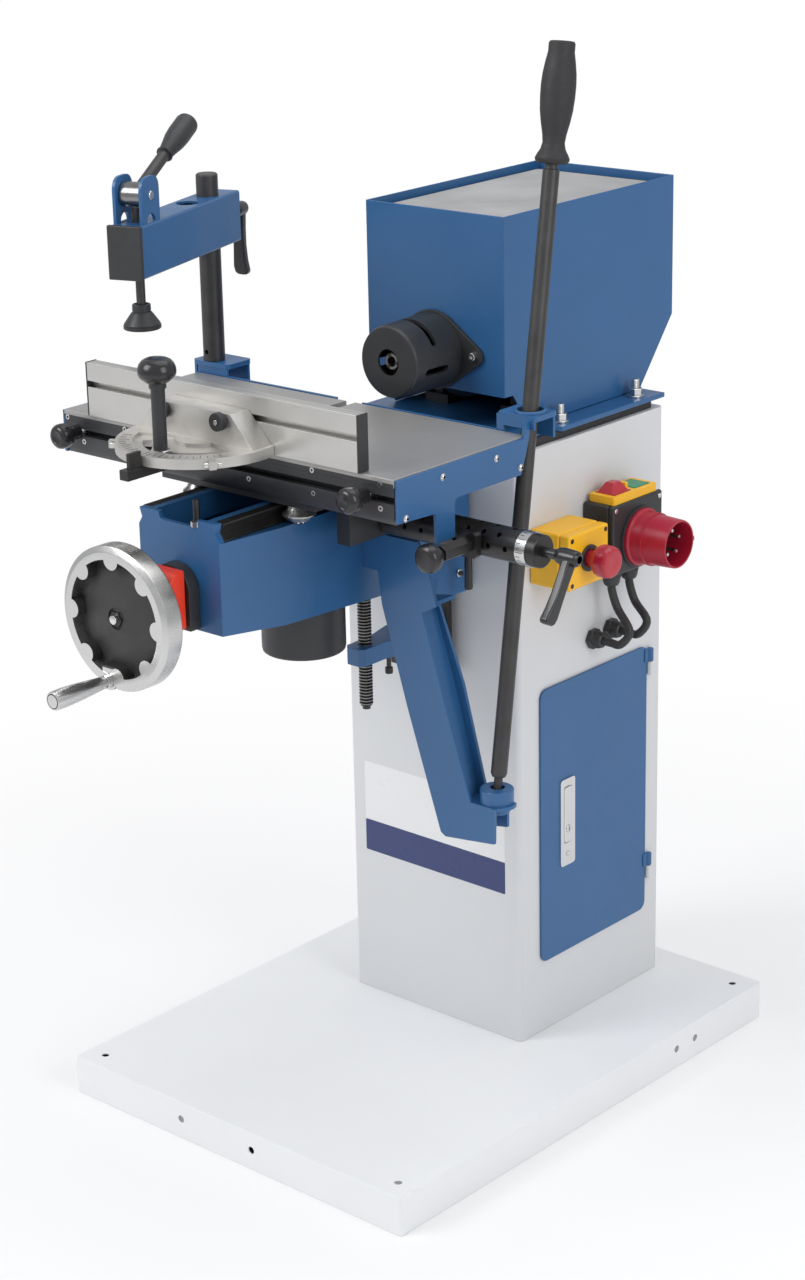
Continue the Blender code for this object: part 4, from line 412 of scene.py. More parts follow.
def ribbed_mat(name, colour):
    """The rubber mat in the hood's tray, with fine ribs along it."""
    made, tree, shader = shader_of(name)
    place = object_place(tree)
    ribs = tree.nodes.new("ShaderNodeTexWave")
    ribs.wave_type = 'BANDS'
    ribs.bands_direction = 'X'
    ribs.inputs["Scale"].default_value = 105.0
    ribs.inputs["Distortion"].default_value = 0.0
    tree.links.new(place, ribs.inputs["Vector"])
    drift = noise(tree, place, 11.0)
    tree.links.new(drifting(tree, drift, colour, 0.12), shader.inputs["Base Color"])
    relief(tree, shader, ribs.outputs["Fac"], 0.35, 0.0006)
    shader.inputs["Roughness"].default_value = 0.75
    return made


blue_powder = finish_with_grain("blue_powder_coat", (0.022, 0.108, 0.270), 0.38, 0.0, 0.05, 7.0, 1400.0,
    0.20, coat=0.15)
grey_powder = finish_with_grain("light_grey_powder_coat", (0.640, 0.650, 0.665), 0.42, 0.0, 0.02, 5.0,
    1500.0, 0.16)
base_enamel = finish_with_grain("off_white_tray_enamel", (0.810, 0.820, 0.835), 0.40, 0.0, 0.02, 4.0,
    1200.0, 0.12)
black_mould = finish_with_grain("black_moulded_plastic", (0.026, 0.027, 0.029), 0.42, 0.0, 0.12, 20.0,
    2600.0, 0.30)
black_gloss = finish_with_grain("black_glossy_plastic", (0.018, 0.018, 0.020), 0.22, 0.0, 0.10, 18.0,
    1800.0, 0.06)
black_oxide = finish_with_grain("blackened_steel", (0.050, 0.048, 0.047), 0.33, 0.75, 0.18, 22.0,
    1500.0, 0.14)
dark_paint = finish_with_grain("black_machine_paint", (0.030, 0.031, 0.034), 0.38, 0.0, 0.10, 12.0,
    1300.0, 0.20)
wrinkle_black = finish_with_grain("black_wrinkle_finish", (0.030, 0.029, 0.028), 0.50, 0.0, 0.20, 30.0,
    700.0, 0.75, depth=0.0004)
rubber = finish_with_grain("black_rubber", (0.022, 0.022, 0.024), 0.62, 0.0, 0.12, 30.0, 1800.0, 0.25)
cable_sheath = finish_with_grain("black_cable_sheath", (0.024, 0.024, 0.026), 0.48, 0.0, 0.10, 30.0,
    2200.0, 0.12)
ground_iron = brushed_finish("ground_table_iron", (0.400, 0.392, 0.382), 0.36, 0.55, (0.6, 14.0, 14.0),
    0.09, 90.0, 0.10)
extruded = brushed_finish("extruded_aluminium", (0.600, 0.590, 0.570), 0.34, 0.85, (0.5, 16.0, 16.0),
    0.06, 80.0, 0.08)
cast_alu = finish_with_grain("cast_aluminium", (0.560, 0.545, 0.520), 0.42, 0.80, 0.10, 26.0, 800.0,
    0.60, depth=0.0003)
polished = finish_with_grain("satin_aluminium", (0.600, 0.598, 0.590), 0.27, 1.0, 0.04, 14.0, 700.0,
    0.06)
bright_zinc = finish_with_grain("bright_zinc", (0.680, 0.680, 0.670), 0.24, 1.0, 0.08, 60.0, 900.0,
    0.10)
chrome = finish_with_grain("chromed_steel", (0.720, 0.720, 0.725), 0.10, 1.0, 0.03, 20.0, 600.0, 0.03)
bright_steel = brushed_finish("turned_steel", (0.450, 0.445, 0.440), 0.28, 0.95, (20.0, 20.0, 1.0),
    0.10, 60.0, 0.06)
orange_mould = finish_with_grain("orange_plastic", (0.800, 0.042, 0.010), 0.34, 0.0, 0.05, 18.0, 2000.0,
    0.10)
yellow_mould = finish_with_grain("yellow_plastic", (0.900, 0.480, 0.012), 0.38, 0.0, 0.04, 16.0, 2000.0,
    0.14)
red_mould = finish_with_grain("red_button_plastic", (0.430, 0.012, 0.028), 0.30, 0.0, 0.06, 20.0,
    2000.0, 0.05, coat=0.3)
inlet_red = finish_with_grain("inlet_red_plastic", (0.380, 0.008, 0.030), 0.36, 0.0, 0.06, 20.0, 2000.0,
    0.08)
green_mould = finish_with_grain("green_button_plastic", (0.022, 0.235, 0.105), 0.32, 0.0, 0.06, 20.0,
    2000.0, 0.06)
dark_steel = finish_with_grain("dark_blued_steel", (0.062, 0.061, 0.061), 0.40, 0.55, 0.16, 26.0,
    1400.0, 0.14)
worn_steel = finish_with_grain("worn_thread_steel", (0.230, 0.222, 0.212), 0.34, 0.90, 0.20, 60.0,
    1400.0, 0.14)
dark_chrome = finish_with_grain("ground_cam_steel", (0.240, 0.238, 0.240), 0.24, 0.95, 0.16, 30.0,
    900.0, 0.06)
plate_white = finish_with_grain("pale_plate_film", (0.760, 0.765, 0.770), 0.30, 0.0, 0.015, 9.0, 1600.0,
    0.04)
plate_navy = finish_with_grain("dark_band_film", (0.030, 0.045, 0.150), 0.30, 0.0, 0.05, 9.0, 1600.0,
    0.04)
tray_mat = ribbed_mat("grey_ribbed_mat", (0.330, 0.332, 0.338))


def dress(piece, material, body, slot, *stands_for):
    """Gives a piece its finish and its body, hides the CAD pieces it stands for, and shades its big
    faces flat.
    """
    pick(piece)
    step = piece.modifiers.new("flat_faces", 'WEIGHTED_NORMAL')
    step.keep_sharp = True
    bpy.ops.object.modifier_apply(modifier=step.name)
    piece.data.materials.clear()
    piece.data.materials.append(material)
    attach(piece, body)
    if stands_for:
        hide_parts(*stands_for)
    return piece


def repaint(piece, material, inside):
    """Another finish on the faces whose middle passes the test."""
    piece.data.materials.append(material)
    number = len(piece.data.materials) - 1
    for face in piece.data.polygons:
        if inside(face.center, face.normal):
            face.material_index = number
    return piece


# Small fastenings

def socket_screw(name, at, direction, radius=0.0045, height=0.0045):
    """A cap screw: a turned head with a hexagon socket."""
    head = turned(name, (0, 0, 0), (0, 0, 1), [(0.0, radius), (height * 0.85, radius),
        (height, radius * 0.86)], 20)
    socket = drawn_along("socket", lobed(radius * 0.52, 0.0, 6, 1), (0, 0, height * 0.45), (0, 0, 1),
        height)
    carve(head, socket)
    bpy.ops.object.shade_smooth_by_angle(angle=SMOOTH_BELOW)
    return into_place(head, at, direction)


def hex_nut(name, at, direction, flats, height):
    radius = flats / math.sqrt(3)
    nut = drawn_along(name, lobed(radius, 0.0, 6, 1), (0, 0, 0), (0, 0, 1), height, 0.0006, 1)
    return into_place(nut, at, direction)


# Base and cabinet

dress(eased("base_plate", "base_tray", 0.0012), base_enamel, "machine", "base_paint", "base_plate")
dress(eased("cabinet_shell", "cabinet_sheet", 0.0010), grey_powder, "machine", "light_paint",
    "cabinet_shell")

# The blank plate on the cabinet's front: a pale field over a dark band, with nothing written on it
plate_field = drawn("front_plate_field", round_corners((-0.116, 0.2935), (0.116, 0.3740), 0.0015), 'Y',
    0.0253, 0.0257)
dress(plate_field, plate_white, "machine", "light_paint")
plate_band = drawn("front_plate_band", round_corners((-0.116, 0.2500), (0.116, 0.2930), 0.0015), 'Y',
    0.0253, 0.0257)
dress(plate_band, plate_navy, "machine", "blue_paint")

door = drawn("door_sheet", round_corners((0.064, 0.148), (0.283, 0.516), 0.012), 'X', 0.1403, 0.1433,
    0.0010)
dress(door, blue_powder, "door", "blue_paint", "door_panel")
for number, hinge_z in enumerate((0.190, 0.475)):
    lug = turned("door_lug_%d" % number, (0.144, 0.2885, hinge_z + 0.0187), (0, 0, 1),
        mm((0, 3.5), (0.8, 4.3), (16.5, 4.3), (17.3, 3.5)), 24)
    leaf = block("leaf", (0.1407, 0.277, hinge_z + 0.0187), (0.1448, 0.289, hinge_z + 0.0360), 0.0006)
    weld_on(lug, leaf)
    dress(lug, blue_powder, "door", "blue_paint")
plate = drawn("latch_plate", round_corners((0.1015, 0.268), (0.1305, 0.386), 0.004), 'X', 0.1430,
    0.1455, 0.0006)
carve(plate, drawn("pocket", round_corners((0.1075, 0.2985), (0.1245, 0.376), 0.003), 'X', 0.1436,
    0.150))
dress(plate, chrome, "door", "zinc")
paddle = drawn("latch_paddle", round_corners((0.1083, 0.3002), (0.1237, 0.3748), 0.0028), 'X', 0.1437,
    0.1464, 0.0008)
dress(paddle, chrome, "latch", "zinc", "door_latch")
dress(turned("latch_lock", (0.1450, 0.116, 0.318), (1, 0, 0), mm((0, 5.2), (2, 5.2), (2.4, 4.6)), 28),
    bright_zinc, "latch", "zinc")
dress(block("latch_keyway", (0.1470, 0.1155, 0.3152), (0.1476, 0.1165, 0.3208)), black_gloss, "latch",
    "black_plastic")
dress(turned("latch_pin", (0.1452, 0.116, 0.2835), (1, 0, 0), mm((0, 3.6), (1.2, 3.6), (1.6, 3)), 24),
    bright_zinc, "door", "zinc")


# Mount plate, hood and motor

dress(eased("mount_plate", "mount_sheet", 0.0008), blue_powder, "machine", "blue_paint", "mount_plate")
frame_outline = mm((-132, 34), (132, 34), (132, 58), (133.5, 60), (133.5, 300), (111.5, 300),
    (111.5, 60), (-111.5, 60), (-111.5, 300), (-133.5, 300), (-133.5, 60), (-132, 58))
spacer = drawn("spacer_frame", frame_outline, 'Z', 0.8233, 0.8337, 0.0006)
dress(spacer, rubber, "machine", "black_steel", "mount_frame")
stud_places = ((-0.1225, 0.130), (-0.1225, 0.281), (0.1225, 0.130), (0.1225, 0.281))
for number, (x, y) in enumerate(stud_places):
    threads = [(0.0, 0.0044)]
    for turn_number in range(12):
        base = 0.0005 + turn_number * 0.0015
        threads += [(base, 0.0044), (base + 0.00055, 0.0050), (base + 0.00085, 0.0050),
            (base + 0.0014, 0.0044)]
    stud = turned("mount_stud_%d" % number, (x, y, 0.8435), (0, 0, 1), threads + [(0.0190, 0.0040)], 24)
    washer = turned("washer", (x, y, 0.8403), (0, 0, 1), mm((0, 10.5), (1.8, 10.5), (2.2, 10)), 32)
    nut = hex_nut("nut", (x, y, 0.8425), (0, 0, 1), 0.016, 0.0085)
    dress(joined(stud, washer, nut), bright_zinc, "machine", "zinc")

hood = eased("motor_hood", "hood_sheet", 0.0016, 3)
dress(hood, blue_powder, "machine", "blue_paint", "motor_hood")
bed = drawn("hood_mat_bed", round_corners((-0.1035, 0.0475), (0.1035, 0.3755), 0.004), 'Z', 1.0881,
    1.0896, 0.0005)
dress(bed, rubber, "machine", "rubber")
mat = drawn("hood_mat", round_corners((-0.0955, 0.0545), (0.0965, 0.3645), 0.006), 'Z', 1.0895, 1.0914,
    0.0006)
dress(mat, tray_mat, "machine", "rubber")
nodes["motor"].data.materials.clear()
nodes["motor"].data.materials.append(dark_paint)

# Guard and chuck, about the spindle's height

SPINDLE_Z = 0.930
EAR_X = 0.064
guard = turned("guard_cup", (0, -0.042, SPINDLE_Z), (0, 1, 0),
    mm((0, 16), (0, 40.8), (0.8, 42.4), (2.8, 43.4), (4.5, 44), (60, 45.2), (85.7, 46.2), (85.7, 43),
    (64, 42.5), (60, 41.2), (4, 40), (3, 38), (3, 16)), 96, closed=True)


def guard_spot(degrees, radius, y):
    turn = math.radians(degrees)
    return Vector((radius * math.cos(turn), y, SPINDLE_Z + radius * math.sin(turn)))


# The curved slot over the top, with round ends, and a long slot low on each side
SLOT_Y = -0.005
slot_shape = (arc((0, SPINDLE_Z), 0.060, 30, 112, 30) + arc((0, SPINDLE_Z), 0.034, 112, 30, 30))
carve(guard, drawn("slot", slot_shape, 'Y', SLOT_Y - 0.0046, SLOT_Y + 0.0046))
for end_angle in (30, 112):
    outward = guard_spot(end_angle, 1.0, 0.0) - Vector((0, 0, SPINDLE_Z))
    carve(guard, turned("slot_end", guard_spot(end_angle, 0.034, SLOT_Y), outward,
        mm((0, 4.6), (26, 4.6)), 24))
for side_angle in (-15, 195):
    outward = guard_spot(side_angle, 1.0, 0.0) - Vector((0, 0, SPINDLE_Z))
    stadium = arc((0.0150, 0.0), 0.0046, -90, 90, 10) + arc((-0.0150, 0.0), 0.0046, 90, 270, 10)
    carve(guard, drawn_along("slot", stadium, guard_spot(side_angle, 0.034, -0.004), outward, 0.026))
smoothed(guard)
dress(guard, black_mould, "machine", "black_plastic", "chuck_guard")
lean = math.degrees(math.acos((0.0485 - 0.012) / EAR_X))
ears = (arc((0, SPINDLE_Z), 0.0485, lean, 180 - lean, 20)
    + arc((-EAR_X, SPINDLE_Z), 0.012, 180 - lean, 180 + lean, 12)
    + arc((0, SPINDLE_Z), 0.0485, 180 + lean, 360 - lean, 20)
    + arc((EAR_X, SPINDLE_Z), 0.012, 360 - lean, 360 + lean, 12))
flange = drawn("guard_flange", ears, 'Y', 0.0385, 0.0437, 0.0010)
carve(flange, turned("bore", (0, 0.02, SPINDLE_Z), (0, 1, 0), mm((0, 44), (40, 44)), 64))
dress(flange, black_mould, "machine", "black_plastic")
back = turned("guard_back", (0, 0.0360, SPINDLE_Z), (0, 1, 0),
    mm((0, 15), (0, 42.4), (1.8, 42.4), (1.8, 15)), 64, closed=True)
dress(back, black_mould, "machine", "black_plastic")
for side in (-1, 1):
    dress(socket_screw("guard_screw_%d" % (side + 1), (side * EAR_X, 0.0385, SPINDLE_Z), (0, -1, 0),
        0.0052, 0.0050), bright_zinc, "machine", "zinc")

chuck = turned("chuck_body", (0, -0.036, SPINDLE_Z), (0, 1, 0),
    mm((0, 6.5), (0, 9.5), (13, 17.5), (15, 20), (16.5, 24), (58, 24), (62, 19), (72, 18), (72, 12.5),
    (97, 12.5), (97, 6.5)), 64, closed=True)
dress(chuck, worn_steel, "chuck", "black_steel", "drill_chuck")
for number in range(3):
    angle = math.radians(97 + 120 * number)
    jaw = block("chuck_jaw_%d" % number, (-0.0022, -0.0365, 0.0052), (0.0022, -0.012, 0.0100), 0.0005)
    jaw.data.transform(Matrix.Translation((0, 0, SPINDLE_Z)) @ Matrix.Rotation(angle, 4, 'Y'))
    dress(jaw, black_oxide, "chuck", "black_steel")


# Switchgear: the stop button's and the inlet's axes run along X

STOP_Y, STOP_Z = 0.086, 0.6935
INLET_Y, INLET_Z = 0.205, 0.689
yellow_body = block("estop_body", (0.1403, 0.047, 0.659), (0.1845, 0.125, 0.728), 0.0030, 3)
carve(yellow_body, turned("bore", (0.1750, STOP_Y, STOP_Z), (1, 0, 0), mm((0, 10.8), (20, 10.8)), 40))
dress(yellow_body, yellow_mould, "machine", "yellow_plastic", "estop_box")
yellow_lid = block("estop_lid", (0.1850, 0.0472, 0.6592), (0.2000, 0.1248, 0.7278), 0.0030, 3)
carve(yellow_lid, turned("bore", (0.1750, STOP_Y, STOP_Z), (1, 0, 0), mm((0, 10.8), (40, 10.8)), 40))
dress(yellow_lid, yellow_mould, "machine", "yellow_plastic")
dress(turned("estop_collar", (0.1995, STOP_Y, STOP_Z), (1, 0, 0),
    mm((0, 11.5), (0, 16.5), (2.6, 16.5), (3.2, 15.5), (3.2, 11.5)), 48, closed=True), black_mould,
    "machine", "black_plastic")
mushroom = turned("estop_mushroom", (0.1850, STOP_Y, STOP_Z), (1, 0, 0),
    mm((0, 10), (28, 10), (28.5, 12), (30, 17.2), (33, 19.2), (36, 20), (45, 20), (49, 19), (51.2, 17),
    (52, 14), (51.5, 6)), 64)
dress(mushroom, red_mould, "estop", "red_plastic", "estop_button")
estop_corners = ((0.0535, 0.6655), (0.1185, 0.6655), (0.0535, 0.7215), (0.1185, 0.7215))
for number, (y, z) in enumerate(estop_corners):
    screw = turned("estop_screw_%d" % number, (0.1996, y, z), (1, 0, 0),
        mm((0, 3), (0.8, 3), (1.2, 2.2)), 20)
    dress(screw, black_gloss, "machine", "black_plastic")

switch_body = block("switch_body", (0.1403, 0.151, 0.648), (0.1790, 0.252, 0.738), 0.0040, 3)
dress(switch_body, black_mould, "machine", "black_plastic", "switch_box")
switch_lid = block("switch_lid", (0.1794, 0.1512, 0.6482), (0.1870, 0.2518, 0.7378), 0.0030, 3)
dress(switch_lid, black_mould, "machine", "black_plastic")
yellow_frame = drawn("switch_frame", round_corners((0.1453, 0.157), (0.1840, 0.244), 0.003), 'Z',
    0.7375, 0.7480, 0.0008)
for y_low, y_high in ((0.164, 0.1985), (0.2055, 0.237)):
    carve(yellow_frame, block("window", (0.1483, y_low, 0.730), (0.1790, y_high, 0.760)))
weld_on(yellow_frame, block("bar", (0.1583, 0.1990, 0.745), (0.1690, 0.2050, 0.7550), 0.0008))
smoothed(yellow_frame)
dress(yellow_frame, yellow_mould, "machine", "yellow_plastic")
red_cap = block("stop_cap", (0.1491, 0.1645, 0.732), (0.1782, 0.1980, 0.7490), 0.0010)
dome = block("dome", (0.1500, 0.1655, 0.7470), (0.1773, 0.1970, 0.7605))
for vertex in dome.data.vertices:
    if vertex.co.z > 0.755:
        vertex.co.x = 0.16365 + (vertex.co.x - 0.16365) * 0.45
        vertex.co.y = 0.18125 + (vertex.co.y - 0.18125) * 0.45
ease(dome, 0.0016, 3)
dress(joined(red_cap, dome), red_mould, "stop", "red_plastic", "stop_button")
green_cap = block("start_cap", (0.1491, 0.2060, 0.732), (0.1782, 0.2365, 0.7490), 0.0012, 3)
dress(green_cap, green_mould, "start", "green_plastic", "start_button")
switch_corners = ((0.1575, 0.6545), (0.2455, 0.6545), (0.1575, 0.7315), (0.2455, 0.7315))
for number, (y, z) in enumerate(switch_corners):
    screw = turned("switch_screw_%d" % number, (0.1866, y, z), (1, 0, 0),
        mm((0, 3.2), (0.8, 3.2), (1.3, 2.4)), 20)
    dress(screw, bright_zinc, "machine", "zinc")

seat = turned("inlet_seat", (0.1865, INLET_Y, INLET_Z), (1, 0, 0),
    mm((0, 38.5), (3, 38.5), (3.5, 37.5)), 64)
dress(seat, black_mould, "machine", "black_plastic")
inlet = turned("inlet_shroud", (0.1903, INLET_Y, INLET_Z), (1, 0, 0),
    mm((0, 36), (3.5, 36), (4.5, 35), (6, 33.8), (17.5, 32.5), (18, 33.2), (21.5, 33.2), (22, 31.5),
    (54, 30.2), (55.8, 29.6), (55.8, 27.6), (14, 27.2), (14, 4), (0, 4)), 80, closed=True)
dress(inlet, inlet_red, "machine", "red_plastic", "power_inlet")
core = turned("inlet_core", (0.1910, INLET_Y, INLET_Z), (1, 0, 0),
    mm((0, 26.5), (15, 26.5), (15.5, 25.5)), 48)
dress(core, black_mould, "machine", "black_plastic")
PIN_CIRCLE = 0.0155
for number in range(5):
    angle = math.radians(90 + 72 * number)
    pin_y, pin_z = INLET_Y + PIN_CIRCLE * math.cos(angle), INLET_Z + PIN_CIRCLE * math.sin(angle)
    pin = turned("inlet_pin_%d" % number, (0.2050, pin_y, pin_z), (1, 0, 0),
        mm((0, 3), (29, 3), (31, 2)), 20)
    dress(pin, bright_zinc, "machine", "zinc")
key = block("inlet_key", (0.2085, 0.2325, 0.6862), (0.2455, 0.2375, 0.6918), 0.0006)
dress(key, inlet_red, "machine", "red_plastic")


# The two short cables, each from its gland under the switch box back into the cabinet

def smooth_route(knots, count):
    knots = [Vector(k) for k in knots]
    ends = [2 * knots[0] - knots[1]] + knots + [2 * knots[-1] - knots[-2]]
    made = []
    for i in range(count):
        place = i / (count - 1) * (len(knots) - 1)
        k = min(int(place), len(knots) - 2)
        t = place - k
        a, b, c, d = ends[k:k + 4]
        made.append(0.5 * (2 * b + (c - a) * t + (2 * a - 5 * b + 4 * c - d) * t * t
            + (3 * b - a - 3 * c + d) * t ** 3))
    return made


GLAND_FLATS = 0.0235


def gland(name, at, direction):
    """A hexagon gland body, its domed nut and the sealing lip."""
    body = hex_nut(name, at, direction, GLAND_FLATS, 0.0080)
    dome_nut = turned("dome", at, direction, mm((7.5, 11.2), (13, 10.8), (17.5, 9), (19, 7)), 32)
    return joined(body, dome_nut)


for name, node, (x, y), (wall_y, wall_z) in (("front", "front_cable", (0.166, 0.176), (0.170, 0.556)),
                                             ("back", "back_cable", (0.166, 0.212), (0.206, 0.560))):
    start = Vector((x, y, 0.634))
    finish = Vector((0.1603, wall_y, wall_z))
    knots = [start, start + Vector((0.001, 0.0, -0.012)), start + Vector((0.008, 0.002, -0.034)),
             Vector((0.1963, (y + wall_y) / 2, wall_z + 0.020)), finish + Vector((0.025, 0.0, 0.001)),
             finish + Vector((0.010, 0, 0)), finish]
    route = smooth_route(knots, 28)
    line = bpy.data.curves.new(name + "_cable_line", 'CURVE')
    line.dimensions = '3D'
    line.bevel_depth = 0.0052
    line.bevel_resolution = 6
    line.use_fill_caps = True
    spline = line.splines.new('POLY')
    spline.points.add(len(route) - 1)
    for point, place in zip(spline.points, route):
        point.co = (*place, 1.0)
    cable = bpy.data.objects.new(name + "_cable_sheath", line)
    bpy.context.scene.collection.objects.link(cable)
    cable.data.materials.append(cable_sheath)
    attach(cable, "machine")
    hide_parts(node)
    upper = dress(gland(name + "_upper_gland", (x, y, 0.6478), (0, 0, -1)), black_mould, "machine",
        "black_plastic")
    lower = dress(gland(name + "_wall_gland", (0.1405, wall_y, wall_z), (1, 0, 0)), black_mould,
        "machine", "black_plastic")
    length = sum((b - a).length for a, b in zip(route, route[1:]))


# Upright way, lift and knee

LIFT_Y = -0.096
KNEE_STOP_X, KNEE_STOP_Y = 0.026, -0.396
WHEEL_Z = 0.733
dress(eased("guide_way", "guide_steel", 0.0006), black_oxide, "machine", "black_steel", "guide_way")
lift_casting = eased("lift_bracket", "lift_casting", 0.0012)
dress(lift_casting, blue_powder, "machine", "blue_paint", "lift_bracket")
repaint(lift_casting, black_oxide, lambda c, n: c.z < 0.5695
    and math.hypot(c.x - 0.006, c.y + 0.060) < 0.0062)
thread = [(0.0, 0.0050), (0.0040, 0.0050), (0.0045, 0.0070)]
for number in range(45):
    base = 0.0060 + number * 0.0040
    thread += [(base, 0.0062), (base + 0.0009, 0.0085), (base + 0.0021, 0.0085),
        (base + 0.0030, 0.0062)]
thread += [(0.1880, 0.0072), (0.1880, 0.0100), (0.1940, 0.0100), (0.1940, 0.0220), (0.2000, 0.0240),
    (0.2080, 0.0170)]
lift_thread = turned("lift_thread", (0, LIFT_Y, 0.509), (0, 0, 1), thread, 40)
dress(lift_thread, black_oxide, "screw", "black_steel", "lift_screw")
repaint(lift_thread, worn_steel, lambda c, n: abs(n.z) < 0.3
    and 0.0080 < math.hypot(c.x, c.y - LIFT_Y) < 0.0090)

knee = eased("knee_housing", "knee_casting", 0.0012)
dress(knee, blue_powder, "knee", "blue_paint", "knee_housing")
repaint(knee, bright_zinc, lambda c, n: math.hypot(c.x - KNEE_STOP_X, c.y - KNEE_STOP_Y) < 0.0085
    and 0.8178 < c.z < 0.8252)
repaint(knee, black_oxide, lambda c, n: math.hypot(c.x - KNEE_STOP_X, c.y - KNEE_STOP_Y) < 0.0085
    and c.z > 0.8246)
for node, name in (("left_knee_rail", "left_rail_bar"), ("right_knee_rail", "right_rail_bar")):
    dress(eased(node, name, 0.0004), black_oxide, "knee", "black_steel", node)
port = turned("port_ring", (0, -0.203, 0.6815), (0, 0, -1),
    mm((0, 47), (0, 50), (60, 50), (63.5, 49.2), (64.5, 48), (64.5, 47)), 80, closed=True)
dress(port, black_mould, "knee", "black_plastic", "dust_port")
dress(eased("lever_arm", "lever_arm_sheet", 0.0009), blue_powder, "knee", "blue_paint", "lever_arm")

# Counter on the wheel's shaft
arch = [(-0.030, 0.701), (0.030, 0.701)] + arc((0.0, 0.745), 0.030, 0, 180, 24)
counter_base = drawn("counter_base", arch, 'Y', -0.4170, -0.4003, 0.0012)
dress(counter_base, black_mould, "knee", "black_plastic", "position_indicator")
wedge_side = mm((-418, 704), (-458.3, 704), (-454.3, 745), (-434.3, 773), (-418, 773))
wedge = drawn("counter_wedge", wedge_side, 'X', -0.026, 0.026, 0.0028, 3)
carve(wedge, turned("bore", (0, -0.47, WHEEL_Z), (0, 1, 0), mm((0, 7.8), (80, 7.8)), 32))
dress(wedge, orange_mould, "knee", "orange_plastic")

# Lock handle
lock = turned("lock_hub", (0.0783, -0.020, 0.722), (1, 0, 0),
    mm((0, 6), (13.5, 6), (14, 8), (15, 9), (30.5, 9), (31.7, 8)), 32)
bar = turned("bar", (0.101, -0.020, 0.722), (0, 0, -1), mm((0, 4.5), (58, 5), (60, 4)), 24)
dress(joined(lock, bar), black_oxide, "knee_lock", "black_steel", "lock_handle")
dress(turned("set_screw", (0.0715, -0.004, 0.673), (1, 0, 0), mm((0, 3), (6, 3), (6.5, 2.4)), 20),
    black_oxide, "knee", "black_steel")
dress(hex_nut("set_nut", (0.0722, -0.004, 0.673), (1, 0, 0), 0.0100, 0.0028), bright_zinc, "knee",
    "zinc")

GRIP_X, GRIP_Z = -0.014, 0.659

# Handwheel: the satin rim with inward lobes, the black dish, the hub and its screw
rim = turned("wheel_rim", (0, -0.505, WHEEL_Z), (0, 1, 0),
    mm((0, 75.8), (0.3, 76.6), (2.6, 81.8), (3.4, 82.8), (4.6, 83), (23.2, 83), (25, 82.2), (26, 80.2),
    (26, 18), (33.5, 16)), 120)


def scalloped(outer, lobe):
    """The dish's outline about the wheel's centre: a circle with eight round lobes standing in it."""
    half = 2 * math.degrees(math.asin(lobe / (2 * outer)))
    lean = math.degrees(math.acos(lobe / (2 * outer)))
    outline = []
    for middle in range(0, 360, 45):
        centre = arc((0, WHEEL_Z), outer, middle, middle, 1)[0]
        outline += arc(centre, lobe, middle + 180 + lean, middle + 180 - lean, 12)
        outline += arc((0, WHEEL_Z), outer, middle + half, middle + 45 - half, 6)[1:-1]
    return outline


carve(rim, drawn("pocket", scalloped(0.0680, 0.0110), 'Y', -0.52, -0.4895))
carve(rim, turned("bore", (0, -0.50, WHEEL_Z), (0, 1, 0), mm((0, 13), (60, 13)), 48))
ease(rim, 0.0007, 2, 50)
dress(rim, polished, "wheel", "polished", "handwheel")
repaint(rim, wrinkle_black, lambda c, n: math.hypot(c.x, c.z - WHEEL_Z) < 0.0676 and c.y > -0.5041
    and c.y < -0.4885)
dish = turned("wheel_dish", (0, -0.5005, WHEEL_Z), (0, 1, 0),
    mm((0, 12.8), (0.2, 15), (1.2, 18.5), (4.2, 38), (7.5, 56), (10, 64), (11.2, 67.4), (12.5, 67.4),
    (12.5, 12.8)), 96, closed=True)
dress(dish, wrinkle_black, "wheel", "black_plastic")
hub = turned("wheel_hub", (0, -0.4995, WHEEL_Z), (0, 1, 0), mm((0, 5), (0, 12.6), (9, 12.6), (9, 5)),
    40, closed=True)
weld_on(hub, hex_nut("hex", (0, -0.4985, WHEEL_Z), (0, -1, 0), 0.0165, 0.0042))
dress(hub, black_oxide, "wheel", "black_plastic")
shaft = turned("wheel_shaft", (0, -0.4960, WHEEL_Z), (0, 1, 0),
    mm((0, 6.7), (363.5, 6.7), (363.5, 8), (371.5, 8), (375.5, 7)), 32)
dress(shaft, bright_steel, "wheel", "zinc")
cap_nut = turned("wheel_screw", (0, -0.5020, WHEEL_Z), (0, -1, 0),
    mm((0, 5.6), (3.2, 5.6), (4.4, 5), (5, 3.8)), 32)
dress(cap_nut, bright_zinc, "wheel", "zinc")
boss = block("grip_boss", (-0.0250, -0.5046, 0.6600), (-0.0020, -0.4880, 0.6760), 0.0022, 3)
weld_on(boss, turned("round_boss", (GRIP_X, -0.5046, GRIP_Z), (0, 1, 0),
    mm((0, 10.4), (0.8, 11.2), (16.6, 11.2)), 48))
dress(boss, wrinkle_black, "wheel", "black_plastic")
repaint(boss, polished, lambda c, n: c.y < -0.5040 and math.hypot(c.x - GRIP_X, c.z - GRIP_Z) < 0.0113)
grip = turned("wheel_handle", (GRIP_X, -0.5047, GRIP_Z), (0, -1, 0),
    mm((0, 5), (0.4, 8), (6.5, 8), (7, 7.4), (7, 5.8), (8.2, 5.8), (8.2, 6.6), (9.4, 7.2), (18, 7.9),
    (30, 8.9), (45, 10.1), (60, 10.9), (70, 11.2), (79, 11), (82.8, 10.6), (83.8, 9.8), (83.8, 8.8),
    (82.2, 8.8), (82.2, 7.8), (84.1, 7.7), (84.3, 6.8)), 56)
dress(grip, polished, "wheel_handle", "polished", "wheel_grip")
# The floor of the groove in the grip's end is painted black: painted shade in the groove
repaint(grip, black_gloss, lambda c, n: math.hypot(c.x - GRIP_X, c.z - GRIP_Z) < 0.0089
    and abs(c.y + 0.5869) < 0.0006)


# Lever

